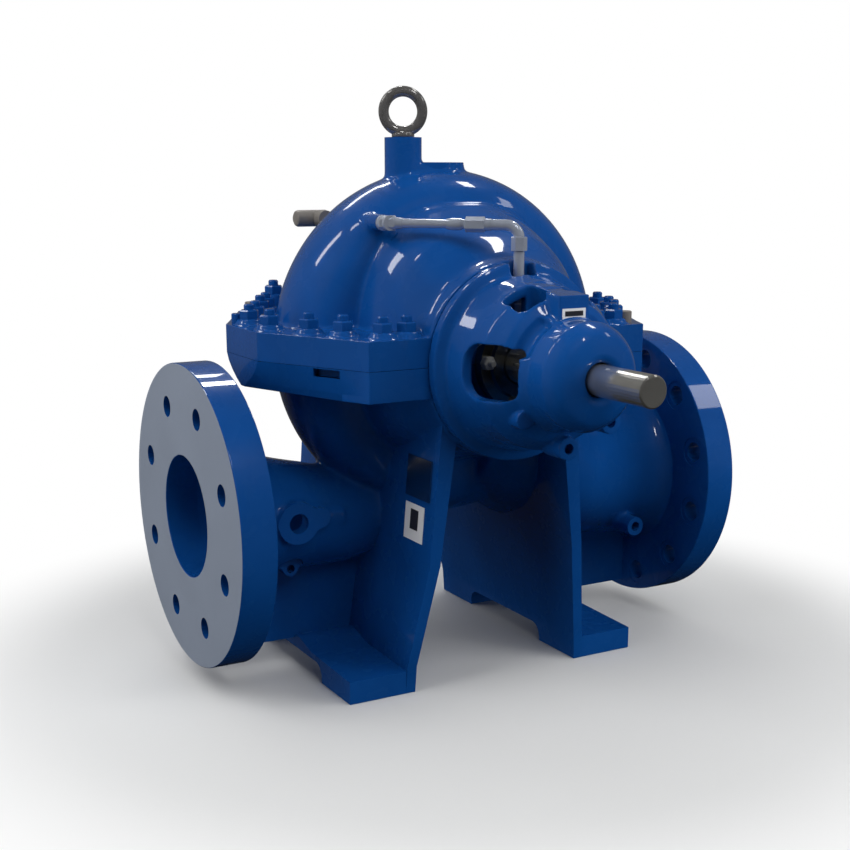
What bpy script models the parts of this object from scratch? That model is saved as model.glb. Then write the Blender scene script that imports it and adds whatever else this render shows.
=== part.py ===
"""Horizontal split case pump with a double-entry casing, two end-mounted bearing brackets and cast feet.

Metres, +Z up, ground at z = 0. +X runs along the nozzles from discharge to suction, and the shaft lies
along Y with its coupling end towards -Y. The dimensions below are measured from the crossing of the shaft
and nozzle axes. FRAME_SHIFT then moves the whole pump, so that the origin is under the middle of its box.
"""

import math

import bmesh
import bpy
from mathutils import Matrix

# Heights and reaches of the casing
SHAFT_Z = 0.342
NOZZLE_Z = 0.180
DISCHARGE_FACE_X = -0.292
SUCTION_FACE_X = 0.307
SHAFT_END_Y = -0.391
FRAME_SHIFT = (-0.0075, 0.0375, 0.0)
GASKET_HALF = 0.0005
GASKET_END_HALF = 0.041
JOINT_GAP = 0.0003

# Pipe flanges
FLANGE_R = 0.15875
FLANGE_T = 0.0365
BOLT_HOLE_R = 0.0111
DISCHARGE_BORE_R = 0.0635
DISCHARGE_CIRCLE_R = 0.1175
DISCHARGE_BOLTS = 8
SUCTION_BORE_R = 0.0762
SUCTION_CIRCLE_R = 0.135
SUCTION_BOLTS = 12

# Gauge tapping on the discharge tube
GAUGE_TAP = (-0.194, 0, 0.175)
GAUGE_BOSS_R = 0.0225
GAUGE_BOSS_Y = 0.068
GAUGE_HOLE_R = 0.0105
GAUGE_LUG = (-0.169, 0, 0.178)
GAUGE_LUG_R = 0.011

# Volute and suction chambers
VOLUTE_X = 0.0065
VOLUTE_R = 0.188
VOLUTE_HALF_WIDTH = 0.064
VOLUTE_SHOULDER_R = 0.135
CHAMBER_HALF_WIDTH = 0.124
CHAMBER_TOP_R = 0.154
CHAMBER_LOWER_SHARE = 0.78
CASING_ROOM = 1.003
BOX_FACE_Y = 0.168
BOX_R = 0.100

# Split flange
SPLIT_UPPER_T = 0.029
SPLIT_LOWER_T = 0.031
SPLIT_OUTLINE = ((0.2245, 0.043), (0.176, 0.138), (0.162, 0.168))
SPLIT_END_TAPER = ((0.000, 0.004), (0.007, 0.017), (0.015, 0.029), (0.023, 0.038))

# Lifting post and vent boss on the crown
POST_X = -0.035
POST_R = 0.0195
POST_TOP_Z = 0.562
VENT_BOSS_X = 0.014
VENT_BOSS_R = 0.022
VENT_BOSS_TOP_Z = 0.5365

# Feet
FOOT_INNER_X = 0.1005
FOOT_OUTER_X = 0.176
FOOT_HALF_LENGTH = 0.145
FOOT_ARCH_HALF = 0.076
FOOT_ARCH_H = 0.0195
FOOT_PLATE = ((0.145, 0.024), (0.050, 0.0265), (0.020, 0.0335))
FOOT_RIB_T = 0.014
FOOT_RIB_Z = 0.030
FOOT_WALL = (
    (0.0, 0.1005, 0.1115, 0.145),
    (0.060, 0.097, 0.1085, 0.147),
    (0.138, 0.081, 0.0935, 0.163),
    (0.290, 0.0615, 0.0807, 0.1665),
)

# Rating plate
PLATE_T = 0.0015
PLATE_Y = (-0.154, -0.105)
PLATE_Z = (0.203, 0.245)

# Rotor
SHAFT_R = 0.015
JOURNAL_R = 0.0175
SLEEVE_R = 0.021
SLEEVE_BORE_CLEARANCE = 0.001
DEFLECTOR_R = 0.033
DEFLECTOR_T = 0.008
DEFLECTOR_Y = 0.238
ROTOR_FREE_END_Y = 0.290
JOURNAL_END_Y = 0.286
BEARING_Y = (0.262, 0.283)

# Bearing brackets
BRACKET_RING_R = 0.099
BRACKET_RING_T = 0.012
BRACKET_BELL_R = 0.088
BRACKET_BELL_BORE_R = 0.070
BRACKET_BELL_Y = 0.208
BRACKET_ARM_END_Y = 0.2575
BRACKET_ARM_END_R = 0.058
HOUSING_R = 0.056
HOUSING_BORE_R = 0.0403
HOUSING_Y = (0.258, 0.296)
LABEL_PAD_HALF = 0.018
LABEL_PAD_Y = (0.240, 0.290)
LABEL_PAD_Z = 0.402
BRACKET_LUG_ANGLES = (-88, -45)
BRACKET_LUG_REACH = 0.073
BRACKET_LUG_R = 0.011
BRACKET_LUG_Y = (0.234, 0.264)
COVER_R = 0.050
COVER_NOSE_R = 0.041
COVER_Y = (0.2963, 0.316)
GLAND_R = 0.046
GLAND_Y = (0.1683, 0.184)

# Seal flush lines
FLUSH_TAP = (-0.098, 0.084, 0.477)
FLUSH_ELBOW = (0.0, 0.1745, 0.476)
FLUSH_DOWN_Z = 0.3886
FLUSH_NOTCH_HALF = 0.014
FLUSH_BOSS_Y = 0.072
FLUSH_FITTING_R = 0.0066
FLUSH_TUBE_R = 0.0038
FLUSH_PIPE_R = 0.0052
FLUSH_PLUG_X = -0.125
FLUSH_PLUG_R = 0.009

ROUND = 48
NEARLY_FLAT = math.radians(0.05)
BLUE = (0.012, 0.082, 0.352)


def clear_scene():
    for obj in list(bpy.data.objects):
        bpy.data.objects.remove(obj, do_unlink=True)


def material(name, colour, roughness, metallic):
    made = bpy.data.materials.new(name)
    made.use_nodes = True
    shader = made.node_tree.nodes["Principled BSDF"]
    shader.inputs["Base Color"].default_value = (*colour, 1)
    shader.inputs["Roughness"].default_value = roughness
    shader.inputs["Metallic"].default_value = metallic
    return made


def solid(name, bm):
    """Turns a bmesh into an object with its faces pointing out."""
    bmesh.ops.recalc_face_normals(bm, faces=bm.faces)
    mesh = bpy.data.meshes.new(name)
    bm.to_mesh(mesh)
    bm.free()
    obj = bpy.data.objects.new(name, mesh)
    bpy.context.scene.collection.objects.link(obj)
    return obj


def loft(name, rings):
    """Closed skin through rings of equal count, capped at both ends."""
    bm = bmesh.new()
    loops = [[bm.verts.new(point) for point in ring] for ring in rings]
    count = len(loops[0])
    for near, far in zip(loops, loops[1:]):
        for i in range(count):
            j = (i + 1) % count
            bm.faces.new((near[i], near[j], far[j], far[i]))
    bm.faces.new(loops[0])
    bm.faces.new(loops[-1])
    bmesh.ops.connect_verts_nonplanar(bm, angle_limit=NEARLY_FLAT, faces=bm.faces)
    return solid(name, bm)


def placed(axis, centre, across, up, along):
    """A point given across, up and along an axis through centre."""
    x, y, z = centre
    if axis == "X":
        return (x + along, y + across, z + up)
    if axis == "Y":
        return (x + across, y + along, z + up)
    return (x + across, y + up, z + along)


def circle(axis, centre, radius, along=0.0, count=ROUND, phase=0.0):
    angles = [2 * math.pi * (i + phase) / count for i in range(count)]
    return [placed(axis, centre, radius * math.cos(a), radius * math.sin(a), along) for a in angles]


def cylinder(name, axis, centre, radius, low, high, count=ROUND):
    return loft(name, [circle(axis, centre, radius, low, count), circle(axis, centre, radius, high, count)])


def turned(name, axis, centre, profile, count=ROUND):
    """Solid of revolution through (radius, distance along) points. The first and last close on the axis."""
    rings = [circle(axis, centre, radius, along, count) for radius, along in profile]
    return loft(name, rings)


def ring_solid(name, axis, centre, profile, count=ROUND):
    """Ring turned from a closed profile of (radius, distance along) points."""
    bm = bmesh.new()
    loops = [[bm.verts.new(p) for p in circle(axis, centre, radius, along, count)] for radius, along in profile]
    for near, far in zip(loops, loops[1:] + loops[:1]):
        for i in range(count):
            j = (i + 1) % count
            bm.faces.new((near[i], near[j], far[j], far[i]))
    return solid(name, bm)


def box(name, low, high):
    xs, ys, zs = zip(low, high)
    base = [(xs[0], ys[0]), (xs[1], ys[0]), (xs[1], ys[1]), (xs[0], ys[1])]
    return loft(name, [[(x, y, z) for x, y in base] for z in zs])


def combine(target, helpers, operation):
    """Joins helpers to the target, or cuts them from it, and removes them."""
    for helper in helpers:
        modifier = target.modifiers.new(operation.lower(), "BOOLEAN")
        modifier.operation = operation
        modifier.solver = "EXACT"
        modifier.object = helper
    graph = bpy.context.evaluated_depsgraph_get()
    mesh = bpy.data.meshes.new_from_object(target.evaluated_get(graph))
    target.modifiers.clear()
    target.data = mesh
    for helper in helpers:
        bpy.data.objects.remove(helper, do_unlink=True)
    return target


def finish(obj, finish_material):
    obj.data.materials.clear()
    obj.data.materials.append(finish_material)
    obj.data.shade_smooth()
    obj.data.set_sharp_from_angle(angle=math.radians(35))
    return obj


def shaft_point(y=0.0):
    return (0.0, y, SHAFT_Z)


def volute(name):
    """Wheel-shaped volute: a rounded rim on a disc about the shaft, a little to the suction side."""
    steps = 12
    rim = []
    for i in range(steps + 1):
        turn = math.pi * (i / steps - 0.5)
        swell = math.cos(turn) ** 0.75 if i not in (0, steps) else 0.0
        rim.append((VOLUTE_SHOULDER_R + (VOLUTE_R - VOLUTE_SHOULDER_R) * swell,
                    VOLUTE_HALF_WIDTH * math.sin(turn)))
    return turned(name, "Y", (VOLUTE_X, 0, SHAFT_Z), rim, 72)


def chamber_ring(half_width, height, y, count=ROUND):
    """Rounded arch outline, squarer at its sides than a circle."""
    ring = []
    for i in range(count):
        angle = 2 * math.pi * i / count
        across = math.copysign(abs(math.cos(angle)) ** 0.72, math.cos(angle))
        up = math.copysign(abs(math.sin(angle)) ** 0.92, math.sin(angle))
        reach = height if up > 0 else max(BOX_R, height * CHAMBER_LOWER_SHARE)
        ring.append((half_width * across, y, SHAFT_Z + reach * up))
    return ring


def suction_chamber(name):
    """Chambers on both sides of the volute, drawn in to the round stuffing boxes at their ends."""
    half = [
        (BOX_R, BOX_R, BOX_FACE_Y),
        (BOX_R + 0.003, BOX_R + 0.003, 0.152),
        (0.108, 0.112, 0.140),
        (0.115, 0.126, 0.125),
        (0.120, 0.140, 0.108),
        (0.123, 0.150, 0.090),
        (CHAMBER_HALF_WIDTH, CHAMBER_TOP_R, 0.066),
    ]
    stations = [(w, h, -y) for w, h, y in half] + [(w, h, y) for w, h, y in reversed(half)]
    rings = []
    for width, height, y in stations:
        round_end = abs(y) > 0.150
        rings.append(circle("Y", shaft_point(), width, y) if round_end else chamber_ring(width, height, y))
    return loft(name, rings)


def split_outline(end_half, inset=0.0):
    """Plan of the split flange, drawn in by inset. end_half is half the width of its end faces."""
    (end_x, _), *sides = SPLIT_OUTLINE
    corner = [(end_x - inset, end_half)] + [(x - inset, y - inset) for x, y in sides]
    plan = [(x, -y) for x, y in reversed(corner)] + corner
    return plan + [(-x, -y) for x, y in plan]


def split_flange(name, levels, inset=0.0):
    """Flange through (height, half width of the end faces) levels."""
    return loft(name, [[(x, y, z) for x, y in split_outline(end_half, inset)] for z, end_half in levels])


def lower_split_flange(grow=0.0):
    """Lower half of the split flange, whose ends narrow to a point underneath."""
    bottom = SHAFT_Z - SPLIT_LOWER_T - grow
    levels = [(bottom + rise, end_half) for rise, end_half in SPLIT_END_TAPER]
    return split_flange("lower_flange", levels + [(SHAFT_Z + 0.01, SPLIT_OUTLINE[0][1])], -grow)


def nozzle(name, stations, count=ROUND):
    """Tube outline along X through (x, centre height, half width, half height) stations."""
    rings = []
    for x, z, half_width, half_height in stations:
        angles = [2 * math.pi * i / count for i in range(count)]
        rings.append([(x, half_width * math.cos(a), z + half_height * math.sin(a)) for a in angles])
    return loft(name, rings)


def flange_holes(face_x, towards, circle_r, count, phase):
    far = face_x + towards * (FLANGE_T + 0.004)
    near = face_x - towards * 0.004
    holes = []
    for i in range(count):
        angle = 2 * math.pi * (i + phase) / count
        centre = (0, circle_r * math.cos(angle), NOZZLE_Z + circle_r * math.sin(angle))
        holes.append(cylinder("bolt_hole", "X", centre, BOLT_HOLE_R, min(near, far), max(near, far), 12))
    return holes


def foot_wall(name, side):
    """Leaning wall that carries the casing, wider at its top."""
    rings = []
    for z, inner, outer, half in FOOT_WALL:
        corners = ((inner, -half), (outer, -half), (outer, half), (inner, half))
        rings.append([(side * x, y, z) for x, y in corners])
    return loft(name, rings)


def foot_arch(name):
    """Cutter that frees the middle of both walls from the ground."""
    corner = 0.014
    outline = [(-FOOT_ARCH_HALF, -0.01), (FOOT_ARCH_HALF, -0.01)]
    for side in (1, -1):
        for i in range(5):
            turn = math.pi / 2 * i / 4
            turn = turn if side == 1 else math.pi / 2 - turn
            outline.append((side * (FOOT_ARCH_HALF - corner + corner * math.cos(turn)),
                            FOOT_ARCH_H - corner + corner * math.sin(turn)))
    reach = FOOT_OUTER_X + 0.01
    return loft(name, [[(x, y, z) for y, z in outline] for x in (-reach, reach)])


def foot_plate(side):
    """Ground plate of a foot, a little thicker under the rib."""
    outline = [(-FOOT_HALF_LENGTH, 0), (FOOT_HALF_LENGTH, 0)] + list(FOOT_PLATE)
    outline += [(-y, z) for y, z in reversed(FOOT_PLATE)]
    return loft("plate", [[(side * x, y, z) for y, z in outline] for x in (FOOT_INNER_X, FOOT_OUTER_X)])


def foot_rib(side, nozzle_back):
    """Rib that stands on the plate and carries the nozzle."""
    rings = []
    for z, inner in ((FOOT_RIB_Z, 0.104), (NOZZLE_Z, 0.080)):
        corners = ((inner, -1), (nozzle_back + 0.006, -1), (nozzle_back + 0.006, 1), (inner, 1))
        rings.append([(side * x, y * FOOT_RIB_T / 2, z) for x, y in corners])
    return loft("rib", rings)


def keep_largest(obj):
    """Drops the slivers that a cut left loose."""
    bm = bmesh.new()
    bm.from_mesh(obj.data)
    left = set(bm.verts)
    islands = []
    while left:
        island = {left.pop()}
        reached = list(island)
        while reached:
            vert = reached.pop()
            for edge in vert.link_edges:
                other = edge.other_vert(vert)
                if other in left:
                    left.remove(other)
                    island.add(other)
                    reached.append(other)
        islands.append(island)
    largest = max(islands, key=len)
    bmesh.ops.delete(bm, geom=[v for v in bm.verts if v not in largest], context="VERTS")
    bm.to_mesh(obj.data)
    bm.free()
    return obj


def casing_body(name, scale=1.0):
    """Volute and chambers, whole, before they are split at the shaft's height."""
    body = volute(name)
    combine(body, [suction_chamber("chamber")], "UNION")
    centre = Matrix.Translation((VOLUTE_X, 0, SHAFT_Z))
    body.data.transform(centre @ Matrix.Scale(scale, 4) @ centre.inverted())
    return body


def room_for_casing():
    """Cutters that keep a nozzle or a foot just clear of the casing."""
    return [casing_body("casing_room", CASING_ROOM), lower_split_flange(JOINT_GAP)]


def shaft_passage(name):
    return cylinder(name, "Y", shaft_point(), SLEEVE_R + SLEEVE_BORE_CLEARANCE, -0.2, 0.2, 32)


def discharge_tube(grow=0.0):
    """Nozzle and flange of the discharge, with the gauge boss on its side."""
    back = DISCHARGE_FACE_X + FLANGE_T
    stations = [
        (back - 0.005, 0.180, 0.080),
        (back + 0.012, 0.178, 0.070),
        (-0.202, 0.172, 0.062),
        (-0.163, 0.1665, 0.058),
        (-0.110, 0.162, 0.052),
        (-0.075, 0.170, 0.050),
        (-0.040, 0.205, 0.045),
    ]
    tube = nozzle("discharge_nozzle", [(x, z, r + grow, r + grow) for x, z, r in stations])
    disc = cylinder("disc", "X", (0, 0, NOZZLE_Z), FLANGE_R, DISCHARGE_FACE_X, back + grow, 72)
    boss = cylinder("boss", "Y", GAUGE_TAP, GAUGE_BOSS_R, -GAUGE_BOSS_Y, -0.030, 24)
    lug = cylinder("lug", "Y", GAUGE_LUG, GAUGE_LUG_R, -GAUGE_BOSS_Y, -0.030, 16)
    return combine(tube, [disc, boss, lug], "UNION")


def discharge_bore():
    back = DISCHARGE_FACE_X + FLANGE_T
    stations = [
        (DISCHARGE_FACE_X - 0.01, 0.180, DISCHARGE_BORE_R),
        (back, 0.180, DISCHARGE_BORE_R),
        (-0.165, 0.167, 0.049),
        (-0.110, 0.162, 0.040),
    ]
    return nozzle("discharge_bore", [(x, z, r, r) for x, z, r in stations], 32)


def discharge_nozzle(paint):
    body = discharge_tube()
    cutters = room_for_casing() + [discharge_bore()]
    cutters.append(cylinder("gauge_hole", "Y", GAUGE_TAP, GAUGE_HOLE_R, -GAUGE_BOSS_Y - 0.01, -GAUGE_BOSS_Y + 0.012, 16))
    cutters += flange_holes(DISCHARGE_FACE_X, 1, DISCHARGE_CIRCLE_R, DISCHARGE_BOLTS, 0.5)
    combine(body, cutters, "DIFFERENCE")
    return finish(keep_largest(body), paint)


def suction_tube(grow=0.0):
    """Nozzle and flange of the suction, which widens into the chambers beside the volute."""
    back = SUCTION_FACE_X - FLANGE_T
    stations = [
        (back + 0.005, 0.180, 0.100, 0.100),
        (back - 0.012, 0.180, 0.088, 0.088),
        (0.215, 0.182, 0.084, 0.084),
        (0.160, 0.200, 0.098, 0.092),
        (0.090, 0.228, 0.112, 0.092),
        (0.020, 0.250, 0.100, 0.070),
    ]
    tube = nozzle("suction_nozzle", [(x, z, w + grow, h + grow) for x, z, w, h in stations])
    disc = cylinder("disc", "X", (0, 0, NOZZLE_Z), FLANGE_R, back - grow, SUCTION_FACE_X, 72)
    return combine(tube, [disc], "UNION")


def suction_bore():
    back = SUCTION_FACE_X - FLANGE_T
    stations = [
        (SUCTION_FACE_X + 0.01, 0.180, SUCTION_BORE_R),
        (back, 0.180, SUCTION_BORE_R),
        (0.180, 0.190, 0.076),
        (0.1305, 0.206, 0.070),
    ]
    return nozzle("suction_bore", [(x, z, r, r) for x, z, r in stations], 32)


def suction_nozzle(paint):
    body = suction_tube()
    cutters = room_for_casing() + [suction_bore()]
    cutters += flange_holes(SUCTION_FACE_X, -1, SUCTION_CIRCLE_R, SUCTION_BOLTS, 0.5)
    combine(body, cutters, "DIFFERENCE")
    return finish(keep_largest(body), paint)


def foot(name, side, tube, paint):
    """Leaning wall, ground plate and rib of one side, fitted round the casing and its nozzle."""
    back = -DISCHARGE_FACE_X - FLANGE_T if side == -1 else SUCTION_FACE_X - FLANGE_T
    body = foot_wall(name, side)
    combine(body, [foot_plate(side), foot_rib(side, back)], "UNION")
    below = box("below_ground", (-0.5, -0.5, -0.1), (0.5, 0.5, 0.0))
    combine(body, room_for_casing() + [tube, foot_arch("arch"), below], "DIFFERENCE")
    return finish(keep_largest(body), paint)


def lower_casing(paint):
    body = casing_body("lower_casing")
    combine(body, [lower_split_flange()], "UNION")
    joint = SHAFT_Z - GASKET_HALF - JOINT_GAP
    upper_half = box("upper_half", (-0.5, -0.5, joint), (0.5, 0.5, 0.8))
    combine(body, [upper_half, shaft_passage("passage"), discharge_bore(), suction_bore()], "DIFFERENCE")
    return finish(keep_largest(body), paint)


def upper_casing(paint):
    body = casing_body("upper_casing")
    joint = SHAFT_Z + GASKET_HALF + JOINT_GAP
    levels = [(SHAFT_Z - 0.01, SPLIT_OUTLINE[0][1]), (SHAFT_Z + SPLIT_UPPER_T, SPLIT_OUTLINE[0][1])]
    parts = [
        split_flange("flange", levels),
        cylinder("post", "Z", (POST_X, 0, 0), POST_R, SHAFT_Z + 0.1, POST_TOP_Z, 32),
        cylinder("vent_boss", "Z", (VENT_BOSS_X, 0, 0), VENT_BOSS_R, SHAFT_Z + 0.1, VENT_BOSS_TOP_Z, 32),
    ]
    for side in (-1, 1):
        tap = (FLUSH_TAP[0], side * FLUSH_TAP[1], FLUSH_TAP[2])
        face = side * FLUSH_BOSS_Y
        parts.append(cylinder("tap_boss", "Y", (tap[0], 0, tap[2]), 0.012, min(0, face), max(0, face), 20))
    combine(body, parts, "UNION")
    cutters = [
        box("lower_half", (-0.5, -0.5, 0), (0.5, 0.5, joint)),
        shaft_passage("passage"),
    ]
    combine(body, cutters, "DIFFERENCE")
    return finish(body, paint)


def casing_gaskets(sheet):
    """Thin sheets between the casing halves, one on each side of the shaft."""
    made = []
    for label, side in (("discharge", -1), ("suction", 1)):
        levels = [(SHAFT_Z - GASKET_HALF, GASKET_END_HALF), (SHAFT_Z + GASKET_HALF, GASKET_END_HALF)]
        body = split_flange(label + "_side_gasket", levels, 0.002)
        edge = -side * (SLEEVE_R + 0.004)
        other_side = box("other_side", (min(edge, -side * 0.5), -0.5, 0.2), (max(edge, -side * 0.5), 0.5, 0.5))
        shaft_side = box("shaft_side", (-SLEEVE_R - 0.004, -0.5, 0.2), (SLEEVE_R + 0.004, 0.5, 0.5))
        combine(body, [other_side, shaft_side], "DIFFERENCE")
        made.append(finish(body, sheet))
    return made


def bracket_window(side, angle, low, high, start, end):
    """Cutter through the bell at an angle about the shaft, from low to high across it."""
    turn = math.radians(angle)
    out_x, out_z = math.cos(turn), math.sin(turn)
    rings = []
    for y in (side * start, side * end):
        corners = []
        for reach, across in ((0.030, low), (0.120, low), (0.120, high), (0.030, high)):
            corners.append((out_x * reach - out_z * across, y, SHAFT_Z + out_z * reach + out_x * across))
        rings.append(corners)
    return loft("window", rings)


def bearing_bracket(name, side, paint):
    """Open bracket: mounting ring, bell with windows, closed drip tray below, and the bearing housing."""
    ring_low = BOX_FACE_Y + JOINT_GAP
    bell = ring_solid(name, "Y", shaft_point(), [
        (BRACKET_BELL_BORE_R, side * ring_low), (BRACKET_RING_R, side * ring_low),
        (BRACKET_RING_R, side * (ring_low + BRACKET_RING_T)),
        (BRACKET_BELL_R, side * (ring_low + BRACKET_RING_T + 0.004)),
        (BRACKET_BELL_R - 0.006, side * BRACKET_BELL_Y), (0.079, side * 0.232), (0.069, side * 0.250),
        (BRACKET_ARM_END_R, side * BRACKET_ARM_END_Y), (HOUSING_R, side * (BRACKET_ARM_END_Y + 0.005)), (HOUSING_R, side * HOUSING_Y[1]),
        (HOUSING_BORE_R, side * HOUSING_Y[1]), (HOUSING_BORE_R, side * HOUSING_Y[0]),
        (0.048, side * (HOUSING_Y[0] - 0.002)), (0.064, side * (BRACKET_BELL_Y + 0.002)),
    ])
    ys = sorted((side * LABEL_PAD_Y[0], side * LABEL_PAD_Y[1]))
    added = [box("label_pad", (-LABEL_PAD_HALF, ys[0], SHAFT_Z + 0.045), (LABEL_PAD_HALF, ys[1], LABEL_PAD_Z))]
    for angle in BRACKET_LUG_ANGLES:
        turn = math.radians(angle)
        centre = (BRACKET_LUG_REACH * math.cos(turn), 0, SHAFT_Z + BRACKET_LUG_REACH * math.sin(turn))
        ys = sorted((side * BRACKET_LUG_Y[0], side * BRACKET_LUG_Y[1]))
        added.append(cylinder("lug", "Y", centre, BRACKET_LUG_R, ys[0], ys[1], 16))
    combine(bell, added, "UNION")
    windows = [
        bracket_window(side, 0, -0.025, 0.028, 0.214, 0.2575),
        bracket_window(side, 180, -0.028, 0.025, 0.214, 0.2575),
        bracket_window(side, 68, -0.014, 0.014, 0.214, 0.248),
        bracket_window(side, 112, -0.014, 0.014, 0.214, 0.248),
    ]
    notch_ys = sorted((side * 0.160, side * (ring_low + BRACKET_RING_T + 0.006)))
    windows.append(box("flush_notch", (-FLUSH_NOTCH_HALF, notch_ys[0], SHAFT_Z + 0.060),
                       (FLUSH_NOTCH_HALF, notch_ys[1], SHAFT_Z + 0.110)))
    combine(bell, windows, "DIFFERENCE")
    return finish(bell, paint)


def bearing(name, side, steel):
    """Ball bearing, as one ring between the journal and its housing."""
    inner, outer = JOURNAL_R + JOINT_GAP, HOUSING_BORE_R - JOINT_GAP
    start, end = (side * y for y in BEARING_Y)
    ring = ring_solid(name, "Y", shaft_point(), [(inner, start), (outer, start), (outer, end), (inner, end)], 32)
    return finish(ring, steel)


def bearing_cover(name, side, open_centre, paint):
    """Outer cover of a bearing housing, with a shaft hole at the drive end and closed at the free end."""
    start, end = (side * y for y in COVER_Y)
    spigot = side * (COVER_Y[0] + 0.011)
    profile = [(COVER_R, start), (COVER_R, spigot), (COVER_NOSE_R, spigot + side * 0.002),
               (COVER_NOSE_R - 0.002, end - side * 0.002), (COVER_NOSE_R - 0.005, end)]
    if open_centre:
        bore = SHAFT_R + 0.001
        cover = ring_solid(name, "Y", shaft_point(), profile + [(bore, end), (bore, start)])
    else:
        cover = turned(name, "Y", shaft_point(), profile)
    return finish(cover, paint)


def seal_gland(name, side, metal):
    """Gland plate of the mechanical seal, against the stuffing box face."""
    start, end = (side * y for y in GLAND_Y)
    bore = SLEEVE_R + 0.001
    gland = ring_solid(name, "Y", shaft_point(), [
        (bore, start), (GLAND_R, start), (GLAND_R, start + side * 0.012), (0.036, start + side * 0.013),
        (0.034, end), (bore, end),
    ], 32)
    return finish(gland, metal)


def rotor(steel, rubber):
    """Stepped shaft, seal sleeves and deflector rings."""
    nose = 0.0015
    shaft = turned("shaft", "Y", shaft_point(), [
        (SHAFT_R - nose, SHAFT_END_Y), (SHAFT_R, SHAFT_END_Y + nose), (SHAFT_R, -JOURNAL_END_Y),
        (JOURNAL_R, 0.0005 - JOURNAL_END_Y), (JOURNAL_R, JOURNAL_END_Y), (SHAFT_R, JOURNAL_END_Y + 0.0005),
        (SHAFT_R, ROTOR_FREE_END_Y - nose), (SHAFT_R - nose, ROTOR_FREE_END_Y),
    ], 32)
    finish(shaft, steel)
    made = [shaft]
    for label, side in (("drive", -1), ("free", 1)):
        inner = JOURNAL_R + JOINT_GAP
        sleeve = ring_solid(label + "_seal_sleeve", "Y", shaft_point(), [
            (inner, side * 0.120), (SLEEVE_R, side * 0.120), (SLEEVE_R, side * 0.215), (inner, side * 0.215),
        ], 32)
        deflector = ring_solid(label + "_deflector", "Y", shaft_point(), [
            (inner, side * (DEFLECTOR_Y - DEFLECTOR_T)), (0.024, side * (DEFLECTOR_Y - DEFLECTOR_T)),
            (DEFLECTOR_R, side * (DEFLECTOR_Y - 0.003)), (DEFLECTOR_R, side * DEFLECTOR_Y),
            (inner, side * DEFLECTOR_Y),
        ], 32)
        made += [finish(sleeve, steel), finish(deflector, rubber)]
    return made


def sweep(name, route, radius, count=12):
    """Round tube along a smooth route of points."""
    curve = bpy.data.curves.new(name, "CURVE")
    curve.dimensions = "3D"
    spline = curve.splines.new("POLY")
    spline.points.add(len(route) - 1)
    for point, place in zip(spline.points, route):
        point.co = (*place, 1)
    curve.bevel_depth = radius
    curve.bevel_resolution = (count - 4) // 4
    curve.use_fill_caps = True
    guide = bpy.data.objects.new(name, curve)
    bpy.context.scene.collection.objects.link(guide)
    graph = bpy.context.evaluated_depsgraph_get()
    mesh = bpy.data.meshes.new_from_object(guide.evaluated_get(graph))
    bpy.data.objects.remove(guide, do_unlink=True)
    bm = bmesh.new()
    bm.from_mesh(mesh)
    bmesh.ops.remove_doubles(bm, verts=bm.verts, dist=0.00001)
    return solid(name, bm)


def rod(name, start, end, radius, count=12):
    return sweep(name, [start, end], radius, count)


def along(start, end, share):
    return tuple(a + (b - a) * share for a, b in zip(start, end))


def flush_line(label, side, steel):
    """Seal flush line: fitting on the volute (plugged at the free end), thin tube, union and bent pipe."""
    tap = (FLUSH_TAP[0], side * FLUSH_TAP[1], FLUSH_TAP[2])
    elbow = (FLUSH_ELBOW[0], side * FLUSH_ELBOW[1], FLUSH_ELBOW[2])
    seat = (tap[0], side * (FLUSH_BOSS_Y + JOINT_GAP), tap[2])
    fitting = sweep(label + "_flush_fitting", [seat, tap, along(tap, elbow, 0.12)], FLUSH_FITTING_R)
    tube = rod(label + "_flush_tube", along(tap, elbow, 0.123), along(tap, elbow, 0.46), FLUSH_TUBE_R)
    if side == 1:
        plug_z = tap[2] + 0.0006
        plug = rod("plug", (FLUSH_PLUG_X, tap[1], plug_z), (tap[0] + 0.0037, tap[1], plug_z), FLUSH_PLUG_R, 20)
        combine(fitting, [plug], "UNION")
    union = rod(label + "_flush_union", along(tap, elbow, 0.463), along(tap, elbow, 0.78), 0.0065)
    radius = 0.012
    start = along(tap, elbow, 0.783)
    length = math.dist(tap, elbow)
    heading = [(b - a) / length for a, b in zip(tap, elbow)]
    route = [start]
    corner = [e - h * radius for e, h in zip(elbow, heading)]
    for i in range(7):
        turn = math.pi / 2 * i / 6
        ahead, down = radius * math.sin(turn), radius * (1 - math.cos(turn))
        route.append((corner[0] + heading[0] * ahead, corner[1] + heading[1] * ahead,
                      corner[2] + heading[2] * ahead - down))
    route.append((route[-1][0], route[-1][1], FLUSH_DOWN_Z))
    pipe = sweep(label + "_flush_pipe", route, FLUSH_PIPE_R)
    return [finish(piece, steel) for piece in (fitting, tube, union, pipe)]


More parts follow.
